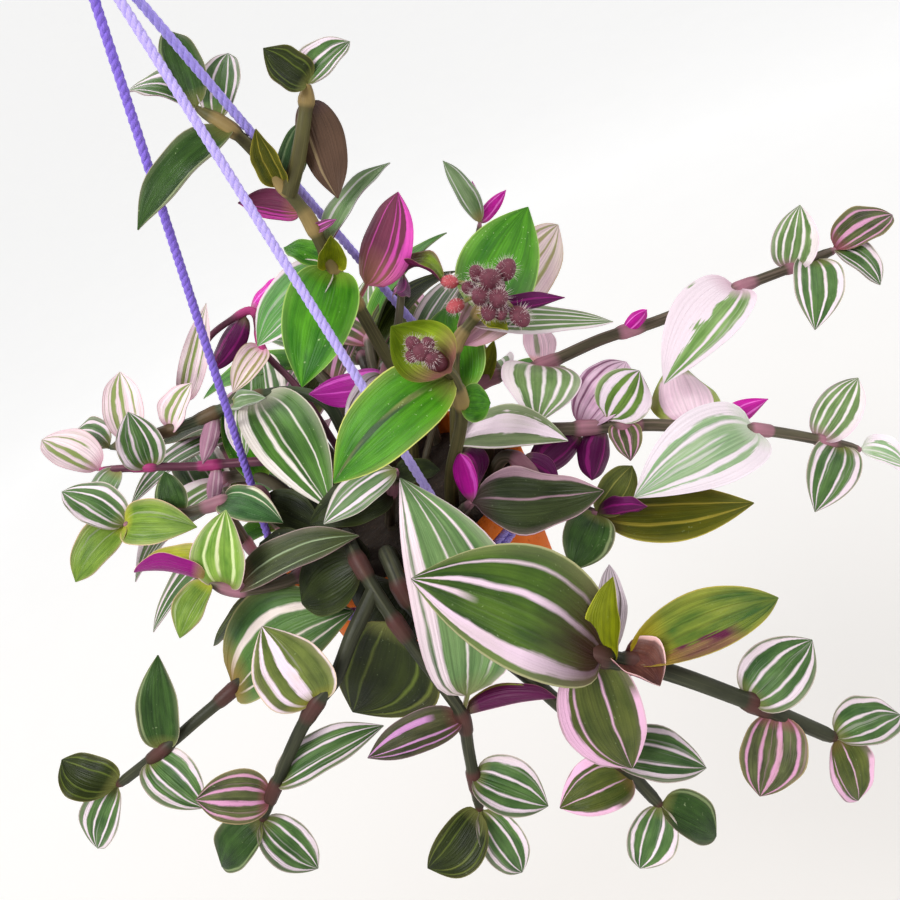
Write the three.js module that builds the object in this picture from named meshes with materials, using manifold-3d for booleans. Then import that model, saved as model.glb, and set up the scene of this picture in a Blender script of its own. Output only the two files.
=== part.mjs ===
// A variegated tradescantia in a shallow terracotta pot, hung in a knotted sling of lavender cord.
// Millimetres, +Z up. The origin is the top of the loop that the sling hangs from.

import * as THREE from "three";
import { mergeVertices } from "three/addons/utils/BufferGeometryUtils.js";
import Module from "manifold-3d";

const wasm = await Module();
wasm.setup();

// Pot, measured from the middle of its rim.
const RIM_RADIUS = 57.5;
const COLLAR_HEIGHT = 10;
const COLLAR_STEP = 3.7;
const BASE_RADIUS = 50.5;
const POT_HEIGHT = 73;
const WALL = 5;
const DRAIN_RADIUS = 6;
const SOIL_LEVEL = -9;
const SEAT_GAP = 0.35;

// Sling: a cord wound twice round the pot under its collar, and three arms tied to it by hand.
const CORD_RADIUS = 1.8;
const CORD_SIDES = 8;
const KNOT_RADIUS = 5.2;
const KNOT_LEVEL = -14.4;
const KNOT_BITE = 1.6;
const RING_STEPS = 30;
const HANG_HEIGHT = 233;
const HANG_KNOT_RADIUS = 5.8;
const HANG_KNOT_STRETCH = 1.3;
const HANG_KNOT_DROP = 2.4;
const LOOP_RADIUS = 11;
const ARM_DEGREES = [22, -78, 168];

// Leaves and stems.
const STEM_RADIUS = 3.1;
const STEM_SIDES = 5;
const STEM_STEP = 26;
const ROOT_DEPTH = 11;
const BUD_SEAT = 0.88;
const HOLE_RADIUS = 3.75;
const BLADE_THICKNESS = 0.8;
const CLEARANCE = 0.45;
const BROAD_STATIONS = [0, 0.18, 0.56, 1];
const NARROW_STATIONS = [0, 0.35, 1];
const NARROW_WIDTH = 12;
const OUTER_SHARE = 0.22;

// The plant was measured from one standpoint, in front of the pot, above it and with the head tilted.
const STANDPOINT = new THREE.Vector3(0, -339.2, 212);
const LOOK_AT = new THREE.Vector3(29.8, 2, 3.2);
const HEAD_TILT = THREE.MathUtils.degToRad(27);
const PICTURE_MIDDLE = 450;
const PICTURE_FOCUS = 929;

const back = STANDPOINT.clone().sub(LOOK_AT).normalize();
const level = new THREE.Vector3(0, 0, 1).cross(back).normalize();
const upright = back.clone().cross(level);
const right = level.clone().multiplyScalar(Math.cos(HEAD_TILT));
right.addScaledVector(upright, -Math.sin(HEAD_TILT));
const up = upright.clone().multiplyScalar(Math.cos(HEAD_TILT));
up.addScaledVector(level, Math.sin(HEAD_TILT));
const POT_DEPTH = STANDPOINT.dot(back);

// A place given by where it is seen in a 900 x 900 picture, and how near it stands in front of the rim.
function seen(x, y, near) {
  const depth = POT_DEPTH - near;
  return STANDPOINT.clone()
    .addScaledVector(back, -depth)
    .addScaledVector(right, ((x - PICTURE_MIDDLE) * depth) / PICTURE_FOCUS)
    .addScaledVector(up, ((PICTURE_MIDDLE - y) * depth) / PICTURE_FOCUS);
}

// A direction given as seen: to the right, up and towards the eye.
function towards([x, y, near]) {
  return new THREE.Vector3()
    .addScaledVector(right, x)
    .addScaledVector(up, y)
    .addScaledVector(back, near)
    .normalize();
}

const pot = (x, y, z) => new THREE.Vector3(x, y, z);
const root = (x, y) => [pot(x, y, SOIL_LEVEL - ROOT_DEPTH), pot(x, y, SOIL_LEVEL + 3)];

// Solids
function solidOf(geometry) {
  const bare = geometry.index ? geometry.toNonIndexed() : geometry.clone();
  bare.deleteAttribute("normal");
  bare.deleteAttribute("uv");
  const merged = mergeVertices(bare, 1e-4);
  return new wasm.Manifold(
    new wasm.Mesh({
      numProp: 3,
      vertProperties: new Float32Array(merged.attributes.position.array),
      triVerts: new Uint32Array(merged.index.array),
    }),
  );
}

function geometryOf(solid) {
  const mesh = solid.getMesh();
  const geometry = new THREE.BufferGeometry();
  geometry.setAttribute(
    "position",
    new THREE.BufferAttribute(mesh.vertProperties, 3),
  );
  geometry.setIndex(new THREE.BufferAttribute(mesh.triVerts, 1));
  return geometry;
}

function joined(solids) {
  return wasm.Manifold.union(solids);
}

// A closed skin over rings of points, each ring with the same count.
function skin(rings) {
  const count = rings[0].length;
  const places = rings.flat();
  const faces = [];
  for (let r = 0; r < rings.length - 1; r++) {
    for (let i = 0; i < count; i++) {
      const j = (i + 1) % count;
      const [a, b] = [r * count + i, r * count + j];
      faces.push(a, b, b + count, a, b + count, a + count);
    }
  }
  const last = (rings.length - 1) * count;
  for (let i = 1; i < count - 1; i++) {
    faces.push(0, i + 1, i, last, last + i, last + i + 1);
  }
  const geometry = new THREE.BufferGeometry().setFromPoints(places);
  geometry.setIndex(faces);
  return geometry;
}

// A round tube over a run of points, its rings turned on from one to the next without a twist.
function tube(points, sides, radiusAt) {
  const tangents = points.map((point, i) => {
    const before = points[Math.max(i - 1, 0)];
    const after = points[Math.min(i + 1, points.length - 1)];
    return after.clone().sub(before).normalize();
  });
  const start = Math.abs(tangents[0].z) > 0.9 ? pot(1, 0, 0) : pot(0, 0, 1);
  let normal = start.cross(tangents[0]).normalize();
  const rings = points.map((point, i) => {
    normal = normal.clone().addScaledVector(tangents[i], -normal.dot(tangents[i])).normalize();
    const other = tangents[i].clone().cross(normal);
    const radius = radiusAt(i / (points.length - 1));
    return Array.from({ length: sides }, (_, side) => {
      const turn = (2 * Math.PI * side) / sides;
      return point
        .clone()
        .addScaledVector(normal, radius * Math.cos(turn))
        .addScaledVector(other, radius * Math.sin(turn));
    });
  });
  return skin(rings);
}

// A taut stretch of cord.
function cordSolid(from, to) {
  const section = new THREE.Shape();
  for (let i = 0; i < CORD_SIDES; i++) {
    const turn = (2 * Math.PI * i) / CORD_SIDES;
    const [x, y] = [CORD_RADIUS * Math.cos(turn), CORD_RADIUS * Math.sin(turn)];
    if (i === 0) section.moveTo(x, y);
    else section.lineTo(x, y);
  }
  const extrudePath = new THREE.LineCurve3(from, to);
  return solidOf(new THREE.ExtrudeGeometry(section, { steps: 4, extrudePath }));
}

function ball(centre, radius, height = 1, sides = 10) {
  const geometry = new THREE.SphereGeometry(radius, sides, sides - 3);
  geometry.scale(1, 1, height);
  geometry.translate(centre.x, centre.y, centre.z);
  return solidOf(geometry);
}

function lathe(profile, segments) {
  const outline = profile.map(([r, z]) => new THREE.Vector2(r, z));
  outline.push(outline[0].clone());
  const geometry = new THREE.LatheGeometry(outline, segments);
  geometry.rotateX(Math.PI / 2);
  return geometry;
}

// Pot and soil
const shoulder = RIM_RADIUS - COLLAR_STEP;
const innerRadius = (z) => RIM_RADIUS - WALL - ((RIM_RADIUS - BASE_RADIUS) * -z) / POT_HEIGHT;

function potSolid() {
  const floor = -POT_HEIGHT + WALL;
  return lathe(
    [
      [DRAIN_RADIUS, -POT_HEIGHT],
      [BASE_RADIUS - 2, -POT_HEIGHT],
      [BASE_RADIUS, -POT_HEIGHT + 2],
      [shoulder, -COLLAR_HEIGHT],
      [RIM_RADIUS - 0.6, -COLLAR_HEIGHT],
      [RIM_RADIUS, -COLLAR_HEIGHT + 1.5],
      [RIM_RADIUS, -1.5],
      [RIM_RADIUS - 1.5, 0],
      [RIM_RADIUS - WALL + 1, 0],
      [innerRadius(-2), -2],
      [innerRadius(floor), floor],
      [DRAIN_RADIUS, floor],
    ],
    36,
  );
}

function soilSolid(holes) {
  const floor = -POT_HEIGHT + WALL + SEAT_GAP;
  const edge = (z) => innerRadius(z) - SEAT_GAP;
  const body = solidOf(
    lathe(
      [
        [0, floor],
        [edge(floor) - 0.6, floor],
        [edge(SOIL_LEVEL) - 0.2, SOIL_LEVEL],
        [0, SOIL_LEVEL],
      ],
      30,
    ),
  );
  return body.subtract(joined(holes));
}

// Sling
const aroundPot = (degrees, radius, z) => {
  const angle = THREE.MathUtils.degToRad(degrees);
  return pot(radius * Math.cos(angle), radius * Math.sin(angle), z);
};
const topKnot = pot(0, 0, HANG_HEIGHT);
const ringRadius = shoulder + CORD_RADIUS + SEAT_GAP + 0.1;
const upperTurn = -COLLAR_HEIGHT - CORD_RADIUS - SEAT_GAP;
const lowerTurn = upperTurn - 2 * CORD_RADIUS - 0.1;

// Each arm runs straight from the hanging knot past the outer edge of the rim to a knot on the ring.
const rimEdge = (degrees) => aroundPot(degrees, RIM_RADIUS + SEAT_GAP + CORD_RADIUS + 0.1, -1.5);
const ringKnot = (degrees) =>
  aroundPot(degrees, ringRadius + CORD_RADIUS + KNOT_RADIUS - KNOT_BITE, KNOT_LEVEL);

function ringSolid() {
  const turns = [upperTurn, lowerTurn].map((z) => {
    const turn = new THREE.TorusGeometry(ringRadius, CORD_RADIUS, CORD_SIDES, RING_STEPS);
    turn.translate(0, 0, z);
    return solidOf(turn);
  });
  const knots = ARM_DEGREES.map((degrees) => ball(ringKnot(degrees), KNOT_RADIUS, 1, 8));
  return joined([...turns, ...knots]);
}

function armSolid(degrees) {
  const edge = rimEdge(degrees);
  const run = topKnot.clone().sub(edge).normalize();
  const drop = edge.z - (KNOT_LEVEL + KNOT_RADIUS + SEAT_GAP);
  const foot = edge.addScaledVector(run, -drop / run.z);
  const head = topKnot.clone().addScaledVector(run, -2 * KNOT_RADIUS);
  return cordSolid(foot, head);
}

// The knot that gathers the three cords, and the loop above it.
function loopSolid() {
  const loop = new THREE.TorusGeometry(LOOP_RADIUS, CORD_RADIUS, CORD_SIDES, 16);
  loop.rotateX(Math.PI / 2);
  loop.scale(0.8, 1, 1.15);
  loop.translate(0, 0, HANG_HEIGHT + LOOP_RADIUS * 1.15 + 2);
  const middle = pot(0, 0, HANG_HEIGHT - HANG_KNOT_DROP);
  return joined([ball(middle, HANG_KNOT_RADIUS, HANG_KNOT_STRETCH, 8), solidOf(loop)]);
}

// Blades

// Half-width of a blade at a share of its length: round at the stem and drawn out to a point.
const halfWidth = (share) =>
  2.212 * Math.pow(share, 0.45) * Math.pow(1 - share, 0.75);

// A blade from base to tip. Its upper side faces along face, it bows by arch and folds up by fold.
function bladeSolid(blade, fat = 0, from = 0) {
  const { base, tip, width, face, arch, fold } = blade;
  const stations = width < NARROW_WIDTH ? NARROW_STATIONS : BROAD_STATIONS;
  const run = tip.clone().sub(base);
  const length = run.length();
  const along = run.clone().normalize();
  const normal = face.clone().addScaledVector(along, -face.dot(along)).normalize();
  const side = normal.clone().cross(along);
  const half = BLADE_THICKNESS / 2 + fat;
  const points = [];
  for (const station of stations) {
    const share = from + (1 - from) * station;
    const slope = arch * 4 * (1 - 2 * share);
    const local = normal.clone().addScaledVector(along, -slope).normalize();
    const middle = base
      .clone()
      .addScaledVector(run, share)
      .addScaledVector(normal, arch * length * 4 * share * (1 - share));
    const least = share < 0.5 ? 1.3 : 0.5;
    const reach = Math.max((width / 2) * halfWidth(share), least) + fat;
    for (const high of [-half, half]) {
      for (const across of [-1, 0, 1]) {
        points.push(
          middle
            .clone()
            .addScaledVector(side, across * reach * Math.cos(fold))
            .addScaledVector(local, Math.abs(across) * reach * Math.sin(fold) + high),
        );
      }
    }
  }
  return solidOf(bladeSkin(points));
}

// The closed skin of a blade: both faces are split along the same diagonals.
function bladeSkin(points) {
  const faces = [];
  const quad = (a, b, c, d) => faces.push(a, b, c, a, c, d);
  const end = points.length - 6;
  for (let s = 0; s < end; s += 6) {
    const n = s + 6;
    quad(s + 1, n + 1, n, s);
    quad(s + 1, s + 2, n + 2, n + 1);
    faces.push(s + 4, s + 3, n + 3, s + 4, n + 3, n + 4);
    faces.push(s + 4, n + 4, n + 5, s + 4, n + 5, s + 5);
    quad(s, n, n + 3, s + 3);
    quad(s + 2, s + 5, n + 5, n + 2);
  }
  for (const [a, b] of [[0, 1], [1, 2]]) {
    quad(a, a + 3, b + 3, b);
    quad(end + a, end + b, end + b + 3, end + a + 3);
  }
  const geometry = new THREE.BufferGeometry().setFromPoints(points);
  geometry.setIndex(faces);
  return geometry;
}

// The plant

// Leaves are listed by the place on their stem, where the tip is seen and how near, the width,
// the way the upper side faces, the bow and the fold.
const plants = {
  stem_upright: {
    path: [...root(10, 8), seen(402, 385, 26), seen(380, 345, 34), seen(356, 303, 44), seen(334, 270, 52),
      seen(305, 213, 62), seen(285, 188, 66), seen(262, 160, 70), seen(232, 130, 74), seen(196, 108, 76)],
    leaves: [
      [4, 398, 192, 60, 22, [0.3, 0, -1], 0.1, 0.35],
      [5, 302, 387, 66, 27, [0.1, 0.2, 1], 0.12, 0.2],
      [5, 258, 346, 44, 23, [-0.3, 0.3, 0.9], 0.1, 0.25],
      [5, 284, 248, 44, 13, [0, 0.5, 0.8], 0.1, 0.3],
      [5.1, 326, 234, 66, 13, [0.1, -0.2, 1], 0.05, 0.7],
      [5.3, 390, 163, 48, 13, [-0.3, 0.6, 0.7], 0.1, 0.4],
      [5.7, 331, 214, 66, 4, [0, 0, 1], 0.05, 0.4],
      [6, 238, 203, 58, 13, [0.2, 0.6, -0.8], 0.05, 0.3],
      [7, 296, 116, 66, 11, [0.2, 0, 1], 0.05, 0.3],
      [7.1, 268, 118, 74, 12, [-0.3, 0, 1], 0.05, 0.4],
      [9, 138, 230, 84, 17, [-0.2, 0.3, 0.9], 0.12, 0.2],
      [9.4, 236, 50, 64, 16, [0, 0.4, 0.8], 0.1, 0.3],
      [10, 128, 92, 74, 18, [0, 0.6, 0.7], 0.15, 0.3],
      [10, 168, 40, 64, 15, [0.3, 0, 0.9], 0.1, 0.35],
    ],
    branch: {
      path: [seen(289, 193, 66), seen(298, 160, 74), seen(304, 122, 80), seen(308, 84, 84)],
      leaves: [
        [2.6, 336, 200, 72, 17, [0.15, 0, -1], 0.06, 0.2],
        [3, 350, 42, 84, 17, [0, 0.5, 0.8], 0.1, 0.3],
        [3, 268, 44, 88, 16, [0, 0.4, 0.9], 0.1, 0.3],
      ],
    },
  },
  stem_upper_right: {
    path: [...root(38, 8), pot(45, 12, 14), seen(482, 382, 0), seen(540, 366, 2), seen(602, 339, 2),
      seen(655, 322, 2), seen(702, 303, 2), seen(738, 288, 2), seen(790, 268, 0), seen(835, 250, -3)],
    leaves: [
      [4, 537, 424, 30, 33, [0.1, 0.75, 0.66], 0.2, -0.1],
      [4, 543, 328, -12, 15, [0, -0.1, 1], 0.1, 0.3],
      [5.4, 655, 300, 8, 7, [0.3, 0.3, -0.9], 0.05, 0.4],
      [8, 664, 384, 26, 30, [-0.15, 0.5, 0.85], 0.12, 0.25],
      [9, 800, 205, 10, 20, [-0.2, 0.3, 0.9], 0.1, 0.3],
      [9.5, 815, 330, 14, 22, [0, 0.5, 0.85], 0.12, 0.2],
      [10, 892, 215, -8, 20, [0, 0.6, 0.8], 0.12, 0.3],
      [10, 880, 285, 4, 18, [0, 0.6, 0.8], 0.12, 0.3],
      [3, 494, 340, 8, 8, [0, 0, 1], 0.1, 0.4],
    ],
  },
  stem_middle_right: {
    path: [...root(40, -8), pot(50, -12, 12), seen(546, 429, 17), seen(602, 427, 15), seen(651, 425, 15),
      seen(705, 428, 12), seen(760, 430, 8), seen(820, 440, 0), seen(860, 450, -5)],
    leaves: [
      [3.6, 626, 362, -12, 23, [0, 0.4, 0.9], 0.1, 0.2],
      [4, 637, 373, 8, 24, [0, 0.1, 1], 0.15, 0.1],
      [6.9, 634, 498, 42, 35, [-0.1, 0.35, 0.93], 0.1, 0.2],
      [5.8, 673, 369, -6, 32, [-0.1, 0.5, 0.85], 0.2, -0.3],
      [6.2, 768, 399, 4, 11, [0, 0.2, -1], 0.05, 0.4],
      [3.6, 530, 472, 22, 18, [0.3, 0.2, -0.9], 0.1, 0.3],
      [4, 592, 480, 22, 16, [0, 0.3, -0.95], 0.1, 0.3],
      [4.4, 640, 455, 28, 14, [0, 0.3, 0.95], 0.1, 0.3],
      [8, 858, 378, 2, 20, [0, 0.5, 0.8], 0.12, 0.3],
      [8.5, 815, 512, 12, 22, [0, 0.5, 0.8], 0.12, 0.2],
      [9, 908, 470, -10, 18, [0, 0.6, 0.8], 0.12, 0.3],
    ],
  },
  stem_bud_high: {
    path: [...root(28, -2), seen(456, 410, 22), seen(456, 346, 30), seen(476, 316, 35), seen(486, 301, 38)],
    head: 6,
    leaves: [
      [4.2, 528, 207, 16, 33, [0, -0.2, 1], -0.02, -0.1],
      [3, 558, 225, -26, 27, [0.3, 0, 0.95], 0.1, 0.2],
      [4, 563, 292, 44, 9, [0, 0.6, -0.8], 0.05, 0.3],
      [3.7, 613, 322, 16, 17, [0, 0.6, 0.8], 0.02, 0.15],
      [4.3, 508, 330, 46, 9, [0, 0.5, 0.8], -0.05, 0.4],
      [1.5, 568, 441, 48, 25, [0, 0.6, 0.8], 0.1, 0.2],
      [2.2, 447, 306, 2, 27, [0.1, 0.1, 1], 0.05, 0.15],
      [1.3, 532, 488, 28, 20, [0, 0.4, -0.9], 0.1, 0.3],
    ],
  },
  stem_bud_low: {
    path: [...root(18, -22), seen(452, 470, 48), seen(462, 410, 72), seen(452, 376, 86), seen(444, 368, 89)],
    head: 4.6,
    leaves: [
      [4, 389, 324, 92, 30, [-0.1, 0.1, 1], -0.05, 0.45],
      [4, 334, 483, 86, 29, [-0.2, 0.35, 0.9], 0.1, 0.2],
      [3.2, 478, 404, 66, 14, [0.2, 0, 1], 0.1, 0.2],
    ],
  },
  stem_top_shoot: {
    path: [...root(20, 22), seen(452, 360, -28), seen(470, 290, -20), seen(478, 236, -14),
      seen(480, 222, -13)],
    leaves: [
      [5, 443, 161, -8, 10, [0.2, 0, 1], 0.1, 0.3],
      [5, 506, 190, -12, 7, [-0.2, 0, -1], 0.1, 0.4],
      [5, 472, 182, -12, 5, [0, 0, -1], 0.05, 0.3],
    ],
  },
  stem_front_right: {
    path: [...root(4, -32), seen(440, 540, 54), seen(520, 620, 64), seen(603, 657, 78), seen(655, 668, 76),
      seen(750, 702, 70), seen(835, 738, 60)],
    leaves: [
      [4, 411, 579, 90, 41, [-0.05, 0.45, 0.9], 0.1, 0.12],
      [4.5, 778, 598, 64, 24, [0.1, 0.55, 0.8], 0.1, 0.4],
      [4.2, 613, 577, 84, 12, [-0.7, 0, 0.7], 0.05, 0.6],
      [4, 609, 565, 56, 12, [0.1, 0, 1], 0.1, 0.2],
      [4.35, 660, 686, 88, 19, [0.2, 0.6, 0.7], 0.1, 0.45],
      [3.8, 632, 768, 62, 30, [-0.1, 0, 1], 0.1, 0.15],
      [6, 812, 640, 70, 24, [0, 0.6, 0.8], 0.12, 0.2],
      [6.3, 760, 796, 66, 24, [0, 0.3, 0.9], 0.1, 0.2],
      [7, 900, 715, 52, 20, [0, 0.7, 0.7], 0.12, 0.3],
      [7, 858, 800, 56, 20, [0, 0.5, 0.8], 0.12, 0.3],
    ],
  },
  stem_front_down: {
    path: [...root(-14, -30), pot(-14, -56, 10), seen(418, 612, 55), seen(500, 655, 50), seen(560, 705, 50),
      seen(610, 752, 44), seen(660, 805, 36)],
    leaves: [
      [2.5, 376, 640, 44, 24, [0, 0.3, 0.95], 0.05, 0.1],
      [6, 706, 768, 44, 22, [0, 0.6, 0.8], 0.12, 0.2],
      [6.4, 560, 808, 44, 22, [0, 0.3, 0.9], 0.12, 0.2],
      [7, 716, 836, 30, 20, [0, 0.6, 0.8], 0.12, 0.3],
      [7, 640, 868, 32, 20, [0, 0.4, 0.9], 0.12, 0.3],
    ],
  },
  stem_front_middle: {
    path: [...root(-24, -18), seen(347, 538, 52), seen(371, 584, 60), seen(412, 645, 62), seen(446, 690, 60),
      seen(462, 715, 56), seen(469, 752, 50), seen(480, 810, 42)],
    leaves: [
      [6, 400, 478, 72, 36, [-0.05, 0.2, 0.95], 0.06, 0.12],
      [3.6, 348, 722, 42, 36, [0.1, 0.3, 0.95], 0.02, 0.12],
      [2.55, 302, 603, 46, 21, [0, 0.4, 0.9], 0.1, 0.2],
      [6, 556, 698, 66, 14, [0, 0.3, -0.9], 0.1, 0.5],
      [6.1, 368, 758, 58, 16, [0, 0.5, 0.8], 0.1, 0.3],
      [7.4, 548, 806, 50, 22, [0, 0.5, 0.8], 0.12, 0.2],
      [8, 428, 868, 40, 20, [0, 0.4, 0.9], 0.12, 0.3],
      [8, 522, 872, 34, 18, [0, 0.4, 0.9], 0.12, 0.3],
    ],
    branch: {
      path: [seen(374, 590, 60), seen(352, 636, 64), seen(334, 680, 64), seen(317, 702, 62),
        seen(300, 731, 60), seen(276, 785, 54), seen(262, 820, 50)],
      leaves: [
        [3, 262, 626, 76, 28, [-0.1, 0.1, 1], 0.08, 0.1],
        [5, 386, 745, 60, 17, [0, 0.6, 0.8], 0.12, 0.2],
        [5.4, 196, 800, 56, 20, [0, 0.5, 0.8], 0.12, 0.2],
        [6, 222, 866, 44, 19, [0, 0.5, 0.8], 0.12, 0.3],
        [6, 318, 868, 46, 18, [0, 0.4, 0.9], 0.12, 0.3],
      ],
    },
  },
  stem_left_front: {
    path: [...root(-34, -18), pot(-44, -32, 14), seen(300, 574, 42), seen(240, 590, 50), seen(207, 582, 52)],
    leaves: [
      [4, 359, 536, 58, 20, [-0.1, 0.7, 0.7], 0.1, 0.25],
      [4.4, 226, 510, 58, 22, [-0.2, 0.2, 0.95], 0.15, 0.2],
      [4.9, 180, 638, 56, 15, [-0.3, 0.4, 0.85], 0.1, 0.3],
      [5, 134, 572, 50, 22, [0, 1, 0.15], 0.08, 0.95],
      [2.2, 262, 546, 30, 20, [0, 0.5, 0.85], 0.1, 0.2],
    ],
  },
  stem_left_low: {
    path: [...root(-37, -11), pot(-52, -24, 16), seen(290, 625, 26), seen(243, 680, 38), seen(195, 722, 40),
      seen(165, 748, 38), seen(118, 785, 32)],
    leaves: [
      [4.2, 354, 611, 48, 39, [-0.15, 0.45, 0.88], 0.08, 0.12],
      [6, 158, 655, 44, 17, [0, 0.2, 1], 0.1, 0.2],
      [6.3, 205, 808, 44, 20, [0, 0.5, 0.8], 0.12, 0.2],
      [7, 62, 760, 28, 19, [0, 0.6, 0.8], 0.12, 0.3],
      [7, 98, 848, 26, 18, [0, 0.5, 0.8], 0.12, 0.3],
    ],
  },
  stem_left_middle: {
    path: [...root(-34, 10), pot(-50, 4, 20), seen(258, 492, 22), seen(222, 502, 24), seen(178, 515, 22),
      seen(125, 525, 16)],
    leaves: [
      [4, 283, 523, 38, 16, [0, 0.5, 0.85], 0.15, 0.2],
      [2.5, 322, 530, 22, 17, [0, 0.5, 0.85], 0.1, 0.2],
      [6, 197, 527, 34, 20, [0, 0.3, 0.95], 0.1, 0.2],
      [5, 164, 472, 24, 13, [0, 0.4, 0.9], 0.1, 0.2],
      [6, 62, 492, 14, 20, [0, 0.6, 0.8], 0.12, 0.3],
      [6, 76, 582, 22, 20, [0, 0.6, 0.8], 0.12, 0.3],
    ],
  },
  stem_left_high: {
    path: [...root(-20, 20), pot(-32, 22, 22), seen(285, 462, 2), seen(232, 463, -2), seen(200, 466, -2),
      seen(150, 467, 0), seen(100, 470, 0)],
    leaves: [
      [4.5, 211, 508, 4, 7, [0, 0.2, -1], 0.05, 0.3],
      [6, 128, 412, 8, 20, [0, 0.5, 0.85], 0.12, 0.2],
      [7, 42, 440, -6, 20, [0, 0.6, 0.8], 0.12, 0.3],
      [6.6, 92, 528, 2, 14, [0, 0.5, 0.85], 0.12, 0.3],
      [2, 338, 520, 4, 18, [0, 0.6, 0.8], 0.1, 0.2],
      [2.7, 234, 492, -6, 20, [0, 0.5, -0.85], 0.1, 0.2],
    ],
  },
  stem_left_upper: {
    path: [...root(-4, 12), pot(-6, 16, 24), seen(325, 402, 6), seen(288, 392, 4), seen(240, 402, 2),
      seen(198, 420, 0), seen(165, 432, -2), seen(110, 448, -6)],
    leaves: [
      [4.6, 331, 510, 44, 30, [0.1, 0.3, 0.95], 0.1, 0.15],
      [5.2, 266, 398, 26, 9, [0.3, 0.2, 1], 0.05, 0.3],
      [6.8, 192, 383, 4, 16, [0, 0.6, 0.8], 0.1, 0.3],
      [5.6, 192, 462, 6, 8, [0, 0.2, -1], 0.05, 0.3],
      [8, 50, 402, -10, 19, [0, 0.6, 0.8], 0.12, 0.3],
      [7.6, 120, 372, -12, 18, [0, 0.5, 0.85], 0.12, 0.3],
      [5, 244, 460, 14, 13, [0, 0.2, 1], 0.08, 0.2],
    ],
  },
  stem_left_arch: {
    path: [...root(-12, 32), seen(298, 388, -20), seen(262, 348, -16), seen(252, 311, -12),
      seen(228, 322, -10), seen(206, 342, -8), seen(194, 385, -10), seen(178, 412, -14)],
    leaves: [
      [4, 285, 276, -8, 14, [0.2, 0, -1], 0.1, 0.4],
      [3, 233, 393, 0, 14, [0, 0, 1], 0.1, 0.3],
      [4.3, 211, 371, -4, 13, [0, 0, -1], 0.1, 0.3],
      [7.6, 206, 300, -8, 12, [0.3, 0, 0.9], 0.1, 0.2],
    ],
  },
  stem_right_low: {
    path: [...root(34, -24), pot(46, -38, 12), seen(560, 500, 34), seen(597, 514, 38)],
    leaves: [
      [4, 754, 503, 34, 25, [0, 0.35, 0.93], -0.1, 0.1],
      [4, 632, 466, 30, 16, [0.2, 0.2, 0.95], 0.1, 0.3],
      [4, 572, 570, 46, 20, [0, 0.2, 1], 0.1, 0.15],
      [4, 650, 498, 48, 10, [0, 0.4, -0.9], 0.05, 0.3],
      [2.2, 552, 508, 40, 16, [0, 0.6, -0.8], 0.1, 0.3],
    ],
  },
  stem_centre_right: {
    path: [...root(20, -36), seen(462, 512, 46), seen(472, 502, 52)],
    leaves: [
      [3, 604, 491, 54, 28, [0, 0.6, 0.8], -0.12, 0.2],
      [3, 448, 455, 58, 20, [0.1, 0, -1], 0.05, 0.5],
    ],
  },
  stem_centre: {
    path: [...root(-8, -10), seen(392, 492, 40), seen(396, 470, 52)],
    leaves: [
      [3, 324, 524, 56, 15, [0, 0.5, 0.9], 0.08, 0.3],
      [2.6, 440, 470, 46, 12, [0, 0.6, 0.8], 0.08, 0.3],
      [2, 336, 560, 44, 20, [0, 0.5, 0.85], 0.1, 0.2],
    ],
  },
  stem_centre_back: {
    path: [...root(4, 22), seen(376, 412, 4), seen(384, 376, 14), seen(397, 330, 32), seen(401, 298, 35),
      seen(403, 274, 37)],
    leaves: [
      [3, 309, 394, 14, 17, [0, -0.3, -0.95], 0.1, 0.3],
      [3, 345, 430, 30, 13, [0, 0.3, 1], 0.1, 0.2],
      [6, 441, 284, 46, 13, [-0.1, 0.8, 0.5], 0.3, 0.4],
      [6, 387, 298, 50, 9, [0.3, 0, -0.95], 0.1, 0.6],
    ],
  },
};

// The far side, which the standpoint doesn't show, is grown by rule: each stem leaves the soil,
// arches over the rim and trails, with leaves to either side and a tuft at its end.
const trailing = [
  { degrees: 50, start: 45, rise: 30, reach: 122, drop: -30 },
  { degrees: 74, start: 44, rise: 24, reach: 112, drop: -66 },
  { degrees: 92, start: 36, rise: 36, reach: 126, drop: -20 },
  { degrees: 111, start: 44, rise: 24, reach: 108, drop: -70 },
  { degrees: 128, start: 37, rise: 32, reach: 106, drop: -38 },
  { degrees: 146, start: 44, rise: 24, reach: 92, drop: -50 },
  { degrees: 62, start: 33, rise: 44, reach: 66, drop: 26 },
];
const RULED_LEAF = { length: 58, width: 25, arch: 0.12, fold: 0.2 };

function trailingStem({ degrees, start, rise, reach, drop }) {
  const foot = aroundPot(degrees, start, 0);
  const middle = (start + reach) / 2;
  const path = [
    ...root(foot.x, foot.y),
    aroundPot(degrees, Math.min(middle - 8, 59), rise * 0.9),
    aroundPot(degrees + 3, middle + 12, rise),
    aroundPot(degrees + 1, reach - 6, (rise + drop) / 2 + 6),
    aroundPot(degrees - 2, reach, drop),
  ];
  const leaves = [];
  const count = 6;
  for (let i = 0; i < count; i++) {
    const last = i > count - 3;
    const place = last ? 5 : 1.9 + (3 * i) / (count - 2);
    const side = i % 2 ? 1 : -1;
    const swing = last ? side * 30 : side * (52 + 7 * (i % 3));
    const size = last ? 0.78 : 1;
    leaves.push({ place, swing, tilt: last ? -30 : 14 - 7 * i, size });
  }
  return { path, degrees, leaves };
}

// Placing

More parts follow.
